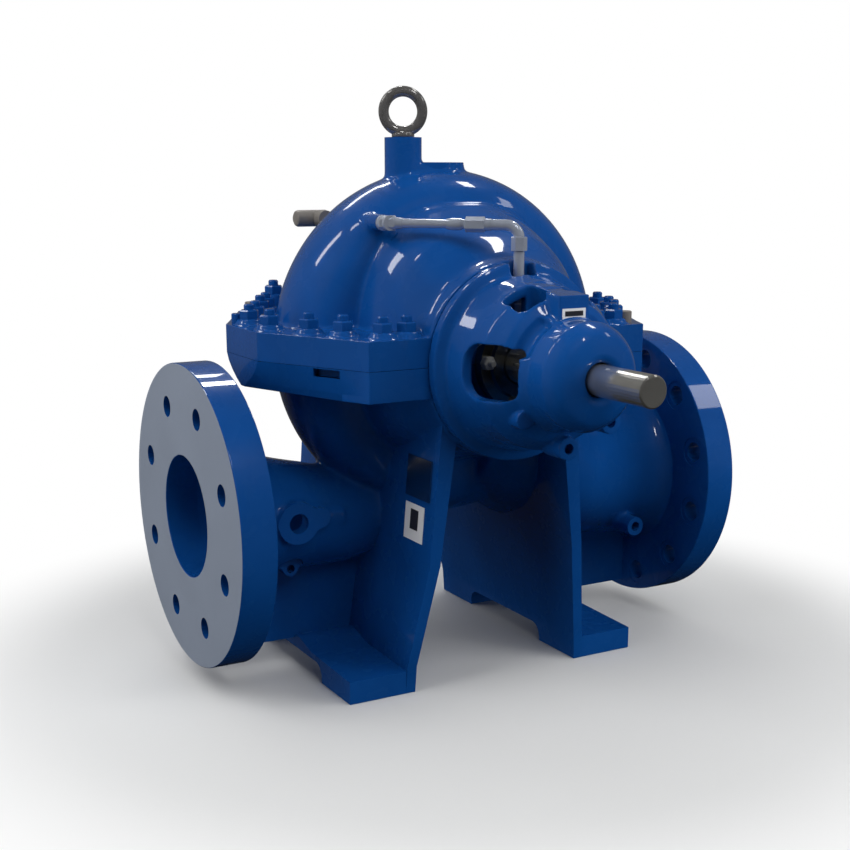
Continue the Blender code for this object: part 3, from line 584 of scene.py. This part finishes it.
def makeLowerCasing():
    joint = shaftHeight - casing["halfGap"]
    bottom = shaftHeight - casing["splitLower"]
    endHalf = casing["splitOutline"][0][1]
    levels = [(bottom + rise, half) for rise, half in casing["splitEndTaper"]] + [(joint, endHalf)]
    core = [(bottom + 0.0008, levels[0][1])] + levels[1:-1] + [(shaftHeight + casing["overlap"], endHalf)]
    spare = nozzles["bossSpare"]
    bm = bmesh.new()
    addVolute(bm)
    addChambers(bm)
    addSplitFlange(bm, core, casing["slabInset"])
    skin(bm, tubeRings(nozzles["dischargeTube"]))
    skin(bm, tubeRings(nozzles["suctionTube"]))
    coreRadius = nozzles["flangeRadius"] - nozzles["coreInset"]
    for flange in (dischargeFlange, suctionFlange):
        addCylinder(bm, "X", nozzleAxis, coreRadius, *flangeSpan(flange, *nozzles["coreSpan"]), 96)
    for boss in bosses.values():
        outer = boss["face"] - spare
        addCylinder(bm, "Y", boss["centre"], boss["radius"], outer, boss["root"], boss["count"])
    lugCentre, lugRadius, lugFace = nozzles["lug"]
    addCylinder(bm, "Y", lugCentre, lugRadius, lugFace - spare, -0.03, 32)
    addBox(bm, *nozzles["patch"])
    for side in (-1, 1):
        addFootWall(bm, side, casing["slabInset"], nozzles["wallTop"])
    piece = melt(newPiece("lowerCasing", bm), nozzles["voxel"], nozzles["passes"])
    cutters = [
        boxCutter((-past, -past, joint), (past, past, 0.8)),
        passageCutter(),
        boreCutter(nozzles["dischargeBore"]),
        boreCutter(nozzles["suctionBore"]),
    ]
    slack = nozzles["slack"]
    spotStart = nozzles["flangeThickness"] - nozzles["spotDepth"] - slack / 2
    for flange in (dischargeFlange, suctionFlange):
        cutters += boltCutters(flange, nozzles["holeRadius"] + slack)
        cutters += boltCutters(flange, nozzles["spotRadius"] + slack, spotStart)
    cutters += slotCutters()
    for boss in bosses.values():
        start, face = nozzles["trimStart"], boss["face"]
        cutters.append(rodCutter("Y", boss["centre"], boss["trim"], start, face))
        cutters.append(rodCutter("Y", boss["centre"], boss["hole"], start, face + boss["depth"]))
    carve(piece, cutters)
    joined(piece, carve(splitSlab(levels, joint), [passageCutter()] + slotCutters()))
    handOver(piece, ["lower_casing", "discharge_nozzle", "suction_nozzle"])


def makeFlangeDisc(flange):
    face, bore = flange["face"], flange["bore"]
    rim, thickness = nozzles["flangeRadius"], nozzles["flangeThickness"]
    back = face + flange["towards"] * thickness
    corners = [(bore, face), (rim, face), (rim, back), (bore, back)]
    profile = rounded(corners, nozzles["flangeCorner"], 3, looped=True)
    bm = bmesh.new()
    addTurned(bm, "X", nozzleAxis, profile, 160, looped=True)
    piece = newPiece(flange["name"], bm)
    carve(piece, boltCutters(flange, nozzles["holeRadius"]))
    carve(piece, boltCutters(flange, nozzles["spotRadius"], thickness - nozzles["spotDepth"]))
    paint(piece, blueEnamel, machinedFace)
    for polygon in piece.data.polygons:
        polygon.material_index = 1 if abs(polygon.center.x - face) < 0.0003 else 0
    handOver(piece, finish=None)


# Feet

feet = {
    "inner": 0.1005, "outer": 0.176, "halfLength": 0.145, "below": -0.008,
    "plate": ((0.145, 0.024), (0.05, 0.0265), (0.02, 0.0335)),
    "wall": ((-0.004, 0.1008, 0.1117, 0.145), (0.028, 0.099, 0.1103, 0.146),
             (0.138, 0.081, 0.0935, 0.163), (0.29, 0.0615, 0.0807, 0.1665)),  # height, faces, half length
    "ribHalf": 0.007, "ribFoot": 0.03, "ribInner": 0.104,
    "archHalf": 0.076, "archHeight": 0.0195, "archCorner": 0.014, "bevel": 0.0022,
}


def addFootWall(bm, side, inset=0, lowest=None):
    rows = feet["wall"]
    if lowest is not None:
        rows = [row for row in smoothed(rows, 8) if row[0] >= lowest]
    rings = []
    for z, inner, outer, half in rows:
        inner, outer, half = inner + inset, outer - inset, half - inset
        corners = (inner, -half), (outer, -half), (outer, half), (inner, half)
        rings.append([(side * x, y, z) for x, y in corners])
    skin(bm, rings)


def archOutline():
    half, height, corner = feet["archHalf"], feet["archHeight"], feet["archCorner"]
    turns = [pi / 2 * i / 8 for i in range(9)]
    bend = [(half - corner + corner * cos(turn), height - corner + corner * sin(turn))
            for turn in turns]
    return [(-half, -0.02), (half, -0.02)] + bend + [(-y, z) for y, z in reversed(bend)]


def makeFoot(name, side, ribTop, replaced):
    bm = bmesh.new()
    addFootWall(bm, side)
    piece = newPiece(name, bm)
    half, ribFoot, ribHalf = feet["halfLength"], feet["ribFoot"], feet["ribHalf"]
    outline = [(-half, feet["below"]), (half, feet["below"]), *feet["plate"]]
    outline += [(-y, z) for y, z in reversed(feet["plate"])]
    plateEnds = span(side, feet["inner"], feet["outer"])
    plate = cutterFrom(lambda added: addPrism(added, outline, *plateEnds, axis="X"))
    ribOutline = [*ribTop, (ribTop[-1][0], ribFoot), (feet["ribInner"], ribFoot)]
    ribRings = [[(side * x, y, z) for x, z in ribOutline] for y in (-ribHalf, ribHalf)]
    carve(piece, [plate, cutterFrom(lambda added: skin(added, ribRings))], "UNION", "EXACT")
    arch = cutterFrom(lambda added: addPrism(added, archOutline(), -past, past, axis="X"))
    carve(piece, [arch, boxCutter((-past, -past, -0.1), (past, past, 0))], solver="EXACT")
    edges = piece.modifiers.new("edges", "BEVEL")
    edges.width = feet["bevel"]
    edges.segments = 3
    edges.angle_limit = radians(25)
    settle(piece)
    handOver(piece, [replaced])


makeUpperCasing()
report("upper casing")
makeLowerCasing()
report("lower casing")
makeFlangeDisc(dischargeFlange)
makeFlangeDisc(suctionFlange)
report("flanges")
makeFoot("dischargeFoot", -1, ((0.085, 0.112), (0.2615, 0.112)), "discharge_side_foot")
makeFoot("suctionFoot", 1, ((0.085, 0.118), (0.16, 0.108), (0.2765, 0.1)), "suction_side_foot")
report("feet")


# Bearing brackets

bracket = {
    "ringRadius": 0.099, "ringStart": 0.1683, "ringEnd": 0.1803, "mouthRadius": 0.075,
    "bell": ((0.088, 0.1843), (0.082, 0.208), (0.079, 0.232), (0.069, 0.25), (0.058, 0.2575),
             (0.056, 0.263)),  # radius, distance from the middle
    "housingRadius": 0.0518, "housingBore": 0.0403, "housing": (0.258, 0.272, 0.296),
    "inside": ((0.05, 0.2555), (0.071, 0.214)), "padHalf": 0.017,
    "pad": ((0.205, 0.05), (0.205, 0.0815), (0.238, 0.0765), (0.27, 0.0735), (0.27, 0.048)),
    "lugs": (-88, -45), "lugReach": 0.073, "lugRadius": 0.0118, "lug": (0.234, 0.264),
    "lugHole": 0.0052, "lugDepth": 0.01,
    "lump": 222, "lumpReach": 0.062, "lumpRadius": 0.0095, "lumpSpan": (0.235, 0.2615),
    "pocket": (114, 162), "pocketReach": 0.0575, "pocketAlong": 0.2635, "pocketRadius": 0.0085,
    "pocketTaper": (0.35, 2.6),
    "notchHalf": 0.014, "notchAlong": (0.16, 0.1863), "notchHeights": (0.06, 0.11),
    "windowReach": (0.034, 0.12), "voxel": 0.0015, "passes": 5,
}
bracketWindows = (  # angle, low and high across it, start and end along the shaft, corner radius
    (0, -0.025, 0.028, 0.206, 0.2615, 0.02), (180, -0.028, 0.025, 0.206, 0.2615, 0.02),
    (67, -0.018, 0.02, 0.2155, 0.2465, 0.009), (113, -0.02, 0.018, 0.2155, 0.2465, 0.009),
)


def windowCutter(side, angle, low, high, start, end, corner):
    turn = radians(angle)
    outX, outZ = cos(turn), sin(turn)
    corners = rounded([(start, low), (end, low), (end, high), (start, high)], corner, 6, looped=True)
    rings = []
    for reach in bracket["windowReach"]:
        rings.append([(outX * reach - outZ * across, side * y, shaftHeight + outZ * reach + outX * across)
                      for y, across in corners])
    return cutterFrom(lambda bm: skin(bm, rings))


def roundShaft(angle, reach):  # the point at an angle and a distance from the shaft's axis
    turn = radians(angle)
    return (reach * cos(turn), 0, shaftHeight + reach * sin(turn))


def pocketCutter(side, mirrored):  # hollow between the bell's shoulder and the bearing housing
    first, last = bracket["pocket"]
    tip, growth = bracket["pocketTaper"]
    rings = []
    for i in range(25):
        angle = first + (last - first) * i / 24
        turn = radians(180 - angle if mirrored else angle)
        radius = bracket["pocketRadius"] * min(1, tip + growth * sin(pi * i / 24))
        ring = []
        for bend in turnsOf(20):
            reach = bracket["pocketReach"] + radius * cos(bend)
            along = bracket["pocketAlong"] + radius * sin(bend)
            ring.append((reach * cos(turn), side * along, shaftHeight + reach * sin(turn)))
        rings.append(ring)
    return cutterFrom(lambda bm: skin(bm, rings))


def makeBracket(name, side, replaced):
    start, ring = bracket["ringStart"], bracket["ringRadius"]
    housing, bore = bracket["housingRadius"], bracket["housingBore"]
    boreStart, shoulder, end = bracket["housing"]
    profile = [(bracket["mouthRadius"], start), (ring, start), (ring, bracket["ringEnd"]), *bracket["bell"],
               (housing, shoulder), (housing, end), (bore, end), (bore, boreStart), *bracket["inside"]]
    bm = bmesh.new()
    addTurned(bm, "Y", shaftAxis, [(radius, side * along) for radius, along in profile], 120, looped=True)
    piece = newPiece(name, bm)
    added = bmesh.new()
    half = bracket["padHalf"]
    skin(added, [[(x, side * y, shaftHeight + up) for y, up in bracket["pad"]] for x in (-half, half)])
    lump = roundShaft(bracket["lump"], bracket["lumpReach"])
    addCylinder(added, "Y", lump, bracket["lumpRadius"], *span(side, *bracket["lumpSpan"]), 24)
    lugs = [roundShaft(angle, bracket["lugReach"]) for angle in bracket["lugs"]]
    for lug in lugs:
        addCylinder(added, "Y", lug, bracket["lugRadius"], *span(side, *bracket["lug"]), 32)
    carve(piece, [newPiece("added", added)], "UNION", "EXACT")
    cutters = [windowCutter(side, *window) for window in bracketWindows]
    notch, (low, high) = bracket["notchHalf"], bracket["notchHeights"]
    near, far = span(side, *bracket["notchAlong"])
    cutters.append(boxCutter((-notch, near, shaftHeight + low), (notch, far, shaftHeight + high)))
    cutters += [pocketCutter(side, False), pocketCutter(side, True)]
    carve(piece, cutters, solver="EXACT")
    melt(piece, bracket["voxel"], bracket["passes"])
    face, depth = bracket["lug"][1], bracket["lugDepth"]
    ends = span(side, face - depth, face + depth)
    carve(piece, [rodCutter("Y", lug, bracket["lugHole"], *ends, 24) for lug in lugs])
    handOver(piece, [replaced])


makeBracket("driveBracket", -1, "drive_bearing_bracket")
makeBracket("freeBracket", 1, "free_bearing_bracket")
report("brackets")


# Bearing covers

cover = {
    "blend": 0.0045,
    "back": ((0.016, 0.2963), (0.049, 0.2963)),
    "crown": ((0.05, 0.2915), (0.052, 0.2915), (0.0519, 0.296), (0.048, 0.304),
              (0.042, 0.311), (0.033, 0.3145), (0.024, 0.316)),
    "lip": ((0.02, 0.3155), (0.016, 0.3135)),
}


def makeCover(name, side, openCentre, replaced):
    corners = cover["crown"]
    if openCentre:
        corners = cover["back"] + corners + cover["lip"]
    corners = rounded(corners, cover["blend"], 5, looped=openCentre)
    bm = bmesh.new()
    profile = [(radius, side * along) for radius, along in corners]
    addTurned(bm, "Y", shaftAxis, profile, 120, looped=openCentre)
    handOver(newPiece(name, bm), [replaced])


makeCover("driveCover", -1, True, "drive_bearing_cover")
makeCover("freeCover", 1, False, "free_bearing_cover")
report("covers")


# Studs and nuts, repeated with Geometry Nodes

def fastenerMesh(across, height, studRadius, proud):  # hexagonal nut with a chamfered top, and its stud
    bm = bmesh.new()
    corner, centre = across / sqrt(3), (0, 0, 0)
    addTurned(bm, "Z", centre, [(corner, 0), (corner, height * 0.86), (corner * 0.88, height)], 6)
    addTurned(bm, "Z", centre, [(studRadius, height * 0.5), (studRadius, height + proud * 0.75),
                                (studRadius * 0.8, height + proud)], 16)
    return newPiece("fastener", bm)


def fastenerTree(name, fastener, finish):
    tree = bpy.data.node_groups.new(name, "GeometryNodeTree")
    sockets = [tree.interface.new_socket(label, in_out=way, socket_type="NodeSocket" + kind)
               for label, way, kind in (("Geometry", "INPUT", "Geometry"), ("Turn", "INPUT", "Vector"),
                                        ("Size", "INPUT", "Float"), ("Geometry", "OUTPUT", "Geometry"))]
    nodes = tree.nodes
    start, end = nodes.new("NodeGroupInput"), nodes.new("NodeGroupOutput")
    points, turn, size = (start.outputs[label] for label in ("Geometry", "Turn", "Size"))
    source = fill(nodes.new("GeometryNodeObjectInfo"), {"Object": fastener}).outputs["Geometry"]
    values = {"Points": points, "Instance": source, "Rotation": turn, "Scale": size}
    placed = fill(nodes.new("GeometryNodeInstanceOnPoints"), values).outputs["Instances"]
    real = fill(nodes.new("GeometryNodeRealizeInstances"), {"Geometry": placed}).outputs["Geometry"]
    painted = fill(nodes.new("GeometryNodeSetMaterial"), {"Geometry": real, "Material": finish})
    fill(end, {"Geometry": painted.outputs["Geometry"]})
    return tree, sockets[1].identifier, sockets[2].identifier


def makeFasteners(name, places, fastener, finish, turn=(0, 0, 0)):
    bm = bmesh.new()
    for place in places:
        bm.verts.new(place)
    piece = newPiece(name, bm)
    tree, turnSocket, sizeSocket = fastenerTree(name + "Tree", fastener, finish)
    modifier = piece.modifiers.new("repeat", "NODES")
    modifier.node_group = tree
    modifier[turnSocket] = turn
    modifier[sizeSocket] = 1.0
    settle(piece)
    handOver(piece, (), finish, sharp=25)
    bpy.data.objects.remove(fastener, do_unlink=True)
    bpy.data.node_groups.remove(tree)


splitNut = {"across": 0.0185, "height": 0.01, "studRadius": 0.0055, "proud": 0.006}
nutSeat = shaftHeight + casing["splitUpper"] - 0.0008
makeFasteners("splitFlangeNuts", [(x, y, nutSeat + height) for x, y, height in studPlaces],
              fastenerMesh(**splitNut), blueEnamel)
glandNut = {"across": 0.0125, "height": 0.008, "studRadius": 0.0035, "proud": 0.006}
glandStuds = {"angles": (-4, 86, 176, 266), "circle": 0.04, "seat": 0.1805}
for side, name in ((-1, "driveGlandNuts"), (1, "freeGlandNuts")):
    centres = [roundShaft(angle, glandStuds["circle"]) for angle in glandStuds["angles"]]
    places = [(x, side * glandStuds["seat"], z) for x, _, z in centres]
    outwards = (-side * pi / 2, 0, 0)
    makeFasteners(name, places, fastenerMesh(**glandNut), nutSteel, outwards)
report("nuts")


# Lifting eye

eye = {
    "x": -0.035, "seat": 0.5623, "ringRadius": 0.0205, "barRadius": 0.0055, "facing": -22,
    "collar": ((0.0001, 0), (0.012, 0), (0.012, 0.003), (0.009, 0.0052)), "neckRadius": 0.0072,
}


def makeEye():
    x, seat, ringRadius, bar = eye["x"], eye["seat"], eye["ringRadius"], eye["barRadius"]
    centreZ = seat + ringRadius + bar
    facing = radians(eye["facing"])
    faceX, faceY = cos(facing), sin(facing)
    loops = []
    for turn in turnsOf(72):
        loop = []
        for bend in turnsOf(28):
            reach, off = ringRadius + bar * cos(bend), bar * sin(bend)
            across = reach * cos(turn)
            loop.append((x + across * faceX - off * faceY, across * faceY + off * faceX,
                         centreZ + reach * sin(turn)))
        loops.append(loop)
    bm = bmesh.new()
    skin(bm, loops, looped=True)
    collar = [(radius, seat + rise) for radius, rise in eye["collar"]]
    profile = rounded(collar + [(eye["neckRadius"], centreZ - ringRadius)], 0.001, 3)
    addTurned(bm, "Z", (x, 0, 0), profile, 48)
    handOver(newPiece("liftingEye", bm), ["eye_bolt"], eyeSteel)


makeEye()
report("lifting eye")


# Seal flush lines

flush = {
    "tap": (-0.098, 0.084, 0.477), "elbow": (0, 0.1745, 0.476), "downTo": 0.3886,
    "seat": 0.0736, "seatRadii": (0.008, 0.0074),
    "fittingRadius": 0.0062, "fittingHex": (-0.055, 0.065, 0.013), "spout": (0.05, 0.12, 0.86),
    "tube": (0.11, 0.48), "tubeRadii": (0.0048, 0.0042),
    "unionHex": (0.595, 0.745, 0.0132),
    "unionBars": (((0.455, 0.005), (0.49, 0.006), (0.57, 0.006)),
                  ((0.565, 0.0048), (0.6, 0.0048)), ((0.74, 0.006), (0.79, 0.006))),
    "pipeStart": 0.775, "pipeRadius": 0.0054, "bend": 0.013,
    "elbowHex": (0.002, -0.012, 0.0138), "footHex": (0.012, 0, 0.0128),
    "plugX": -0.125, "plugEnd": -0.088, "plugRadius": 0.009, "plugRoot": 0.06,
    "plugRounding": ((0, 0.6), (0.04, 0.88), (0.1, 1), (1, 1)),
}


def frameAt(direction):  # two directions square to a route
    side = direction.cross(Vector((0, 0, 1)))
    if side.length < 0.1:
        side = direction.cross(Vector((0, 1, 0)))
    side.normalize()
    return side, side.cross(direction).normalized()


def addRoute(bm, route, radii, count=24):  # round bar along a route, with a radius for each point
    points = [Vector(p) for p in route]
    rings = []
    for i, point in enumerate(points):
        before, after = points[max(0, i - 1)], points[min(len(points) - 1, i + 1)]
        side, up = frameAt((after - before).normalized())
        rings.append([tuple(point + radii[i] * (side * cos(turn) + up * sin(turn)))
                      for turn in turnsOf(count, 0.5)])
    skin(bm, rings)


def addHexRod(bm, start, end, across, chamfer=0.0007):
    start, end = Vector(start), Vector(end)
    step = (end - start).normalized() * chamfer
    corner = across / sqrt(3)
    addRoute(bm, [start, start + step, end - step, end], [corner * 0.9, corner, corner, corner * 0.9], 6)


def between(start, end, *shares):
    return [tuple(a + (b - a) * share for a, b in zip(start, end)) for share in shares]


def makeFreePlug(tap):
    radius = flush["plugRadius"]
    shares, swells = zip(*flush["plugRounding"])
    ends = [(flush[key], tap[1], tap[2]) for key in ("plugX", "plugEnd")]
    bm = bmesh.new()
    addRoute(bm, between(*ends, *shares), [radius * swell for swell in swells], 32)
    addRoute(bm, [(tap[0], flush["plugRoot"], tap[2]), tap], [radius * 0.98, radius * 0.98], 32)
    handOver(newPiece("freePlug", bm), (), plugSteel)


def makeFlushLine(label, side):
    tap, elbow = [(x, side * y, z) for x, y, z in (flush["tap"], flush["elbow"])]

    def hand(part, bm):
        piece = newPiece(label + "Flush" + part.capitalize(), bm)
        handOver(piece, [label + "_flush_" + part], brightSteel)

    bm = bmesh.new()
    radius = flush["fittingRadius"]
    seat = [(tap[0], side * y, tap[2]) for y in (flush["seat"], flush["tap"][1] + radius)]
    addRoute(bm, seat, flush["seatRadii"])
    near, far, across = flush["fittingHex"]
    addHexRod(bm, *between(tap, elbow, near, far), across)
    near, far, taper = flush["spout"]
    addRoute(bm, between(tap, elbow, near, far), [radius, radius * taper])
    hand("fitting", bm)
    if side == 1:
        makeFreePlug(tap)

    bm = bmesh.new()
    addRoute(bm, between(tap, elbow, *flush["tube"]), flush["tubeRadii"])
    hand("tube", bm)

    bm = bmesh.new()
    for bar in flush["unionBars"]:
        shares, radii = zip(*bar)
        addRoute(bm, between(tap, elbow, *shares), radii)
    near, far, across = flush["unionHex"]
    addHexRod(bm, *between(tap, elbow, near, far), across)
    hand("union", bm)

    bm = bmesh.new()
    bend = flush["bend"]
    length = dist(tap, elbow)
    heading = [(b - a) / length for a, b in zip(tap, elbow)]
    corner = [e - h * bend for e, h in zip(elbow, heading)]
    route = between(tap, elbow, flush["pipeStart"])
    for i in range(13):
        turn = pi / 2 * i / 12
        ahead, down = bend * sin(turn), bend * (1 - cos(turn))
        x, y, z = (c + h * ahead for c, h in zip(corner, heading))
        route.append((x, y, z - down))
    x, y, top = route[-1]
    route.append((x, y, flush["downTo"]))
    addRoute(bm, route, [flush["pipeRadius"]] * len(route))
    for level, (rise, drop, across) in ((top, flush["elbowHex"]), (flush["downTo"], flush["footHex"])):
        addHexRod(bm, (x, y, level + rise), (x, y, level + drop), across)
    hand("pipe", bm)


makeFlushLine("drive", -1)
makeFlushLine("free", 1)
report("flush lines")


# Plates and labels

def wallPlane(z):  # the outer face of the discharge foot wall
    (lowZ, _, lowX, _), (highZ, _, highX, _) = feet["wall"][-2:]
    return -(lowX + (highX - lowX) * (z - lowZ) / (highZ - lowZ))


def addWallPatch(bm, ys, zs, lift, thickness):
    rings = []
    for z in zs:
        x = wallPlane(z) - lift
        rings.append([(x, ys[0], z), (x - thickness, ys[0], z), (x - thickness, ys[1], z), (x, ys[1], z)])
    skin(bm, rings)


labels = {  # wall labels hold span, heights, lift and thickness, pad labels their low and high corners
    "wallLabel": ((-0.144, -0.105), (0.1575, 0.1955), 0, 0.0006),
    "wallLabelField": ((-0.133, -0.117), (0.169, 0.19), 0.0004, 0.0005),
    "padLabel": ((-0.0135, -0.2706, 0.394), (0.0125, -0.2695, 0.4036)),
    "padLabelField": ((-0.0105, -0.271, 0.3966), (0.0095, -0.27, 0.4012)),
}


def makeLabels():
    for place, build in (("wall", addWallPatch), ("pad", addBox)):
        for part, finish in (("Label", labelWhite), ("LabelField", labelDark)):
            bm = bmesh.new()
            build(bm, *labels[place + part])
            handOver(newPiece(place + part, bm), (), finish)


makeLabels()
report("labels")


# CAD nodes that stay as they are

def dress(finish, *nodes):
    for node in nodes:
        paint(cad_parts[node], finish)


dress(shaftSteel, "shaft", "drive_seal_sleeve", "free_seal_sleeve")
dress(brightSteel, "drive_bearing", "free_bearing")
dress(glandSteel, "drive_seal_gland", "free_seal_gland")
dress(blackRubber, "drive_deflector", "free_deflector")
dress(gasketSheet, "discharge_side_gasket", "suction_side_gasket")
dress(plateMetal, "nameplate")


# Studio

studio = {
    "floorRadius": 6, "floorColour": (0.73, 0.735, 0.735), "glowStart": 0.42, "glowFull": 0.66,
    "camera": (-0.7303, -1.2489, 0.525), "yaw": -29.045, "pitch": -13.861, "focal": 1329.8,
    "frame": 850, "sensor": 36, "shift": 0.09, "ambient": 0.3, "mirroredAmbient": 0.14,
    "backGlow": (0.22, 0.85, -0.2, 0.8), "underGlow": (0.05, 1, -0.45, 0),
}


def shaderMix(tree, share, first, second):
    values = {0: share, 1: first.outputs[0], 2: second.outputs[0]}
    return addNode(tree, "MixShader", values).outputs["Shader"]


def makeFloor():
    bm = bmesh.new()
    bmesh.ops.create_circle(bm, cap_ends=True, radius=studio["floorRadius"], segments=96)
    floor = newPiece("floor", bm)
    floor.location.z = -0.0005
    finish, tree, shader = newFinish("floorPaper", studio["floorColour"], 0.9)
    fill(shader, {"Specular IOR Level": 0})
    # Painted light: farther from the pump the floor turns into a plain white glow that is no lamp, so the
    # darker disc left round the pump is painted shade
    reach = addNode(tree, "VectorMath", {0: objectPlace(tree)})
    reach.operation = "LENGTH"
    ends = {"From Min": studio["glowStart"], "From Max": studio["glowFull"]}
    fade = addNode(tree, "MapRange", {"Value": reach.outputs["Value"], **ends})
    fade.interpolation_type = "SMOOTHSTEP"
    shade = shaderMix(tree, fade.outputs["Result"], shader, addNode(tree, "Emission"))
    fill(tree.nodes["Material Output"], {"Surface": shade})
    paint(floor, finish)
    floor.visible_diffuse = floor.visible_glossy = floor.visible_shadow = False


def makeLight(name, place, aim, size, power, diffuse=True, glossy=True):
    light = bpy.data.lights.new(name, "AREA")
    light.shape = "RECTANGLE"
    light.size, light.size_y = size
    light.energy = power
    holder = bpy.data.objects.new(name, light)
    holder.location = place
    holder.rotation_euler = (Vector(aim) - Vector(place)).to_track_quat("-Z", "Y").to_euler()
    holder.visible_diffuse = diffuse
    holder.visible_glossy = glossy
    holder.visible_camera = False
    scene.collection.objects.link(holder)


def makeWorld():  # white behind the pump, bright at the back and dim at the front for what is lit
    world = bpy.data.worlds.new("studio")
    world.use_nodes = True
    tree = world.node_tree
    tree.nodes.clear()
    place = addNode(tree, "TexCoord").outputs["Generated"]
    split = addNode(tree, "SeparateXYZ", {"Vector": place})
    back = ranged(tree, split.outputs["Y"], *studio["backGlow"])
    under = ranged(tree, split.outputs["Z"], *studio["underGlow"])
    level = addNode(tree, "Math", {0: back, 1: under})
    level.operation = "MULTIPLY"
    rays = addNode(tree, "LightPath")
    strengths = studio["ambient"], studio["mirroredAmbient"]
    strength = ranged(tree, rays.outputs["Is Glossy Ray"], *strengths, 0, 1)
    lit = addNode(tree, "Background", {"Color": level.outputs["Value"], "Strength": strength})
    seen = addNode(tree, "Background", {"Color": (1, 1, 1, 1)})
    glow = shaderMix(tree, rays.outputs["Is Camera Ray"], lit, seen)
    addNode(tree, "OutputWorld", {"Surface": glow})
    scene.world = world


def makeCamera():
    camera = bpy.data.objects.new("camera", bpy.data.cameras.new("camera"))
    scene.collection.objects.link(camera)
    camera.location = studio["camera"]
    camera.rotation_euler = (radians(90 + studio["pitch"]), 0, radians(studio["yaw"]))
    camera.data.sensor_width = studio["sensor"]
    camera.data.lens = studio["focal"] / studio["frame"] * studio["sensor"]
    camera.data.shift_y = studio["shift"]
    scene.camera = camera


makeFloor()
middle = (0, 0, 0.3)
fills = {  # place, size, power: soft light that shows in no reflection
    "leftFill": ((-2.4, 0, 0.9), 1.5, 10), "leftBackFill": ((-1.7, 1.7, 0.9), 1.5, 10),
    "rightFill": ((2.4, 0, 0.9), 1.5, 3), "rightBackFill": ((1.7, 1.7, 0.9), 1.5, 12),
    "rightFrontFill": ((1.7, -1.7, 0.9), 1.5, 28), "topBackFill": ((0, 1.5, 1.9), 1.5, 12),
    "topFrontFill": ((0, -1.5, 1.9), 1.5, 19), "topLeftFill": ((-1.5, 0, 1.9), 1.5, 21),
    "topRightFill": ((1.5, 0, 1.9), 1.5, 5), "floorGlowFront": ((0, -2.2, -0.7), 1.7, 4),
    "floorGlowLeft": ((-2.2, 0, -0.7), 1.7, 10),
}
for name, (place, size, power) in fills.items():
    makeLight(name, place, middle, (size, size), power, glossy=False)
mirrored = {  # place, what it faces, size, power: what the enamel and the bright metal reflect
    "rimStrip": ((0.42, 1.05, 1.9), (0.42, 0, 0.3), (0.18, 0.18), 3),
    "backBox": ((0.04, 1.5, 1.58), middle, (0.5, 0.16), 1.6),
    "shaftBox": ((0.36, 1.5, 1.74), middle, (0.24, 0.16), 1.3),
    "leftBox": ((-1.35, 0.95, 1.9), middle, (0.22, 0.75), 4.2),
    "leftTopBox": ((-0.75, 0.22, 1.9), middle, (0.14, 0.24), 0.8),
    "rightBackBox": ((0.92, 0.17, 1.9), middle, (0.46, 0.16), 3.2),
    "rightBox": ((1.72, -0.82, 1.78), (1.72, 0, 0.3), (0.3, 0.72), 2.7),
    "frontTopBox": ((0.26, -1.3, 1.8), middle, (0.1, 0.45), 2),
}
for name, (place, facing, size, power) in mirrored.items():
    makeLight(name, place, facing, size, power, diffuse=False)
makeWorld()
makeCamera()
scene.view_settings.view_transform = "Standard"
report("studio")
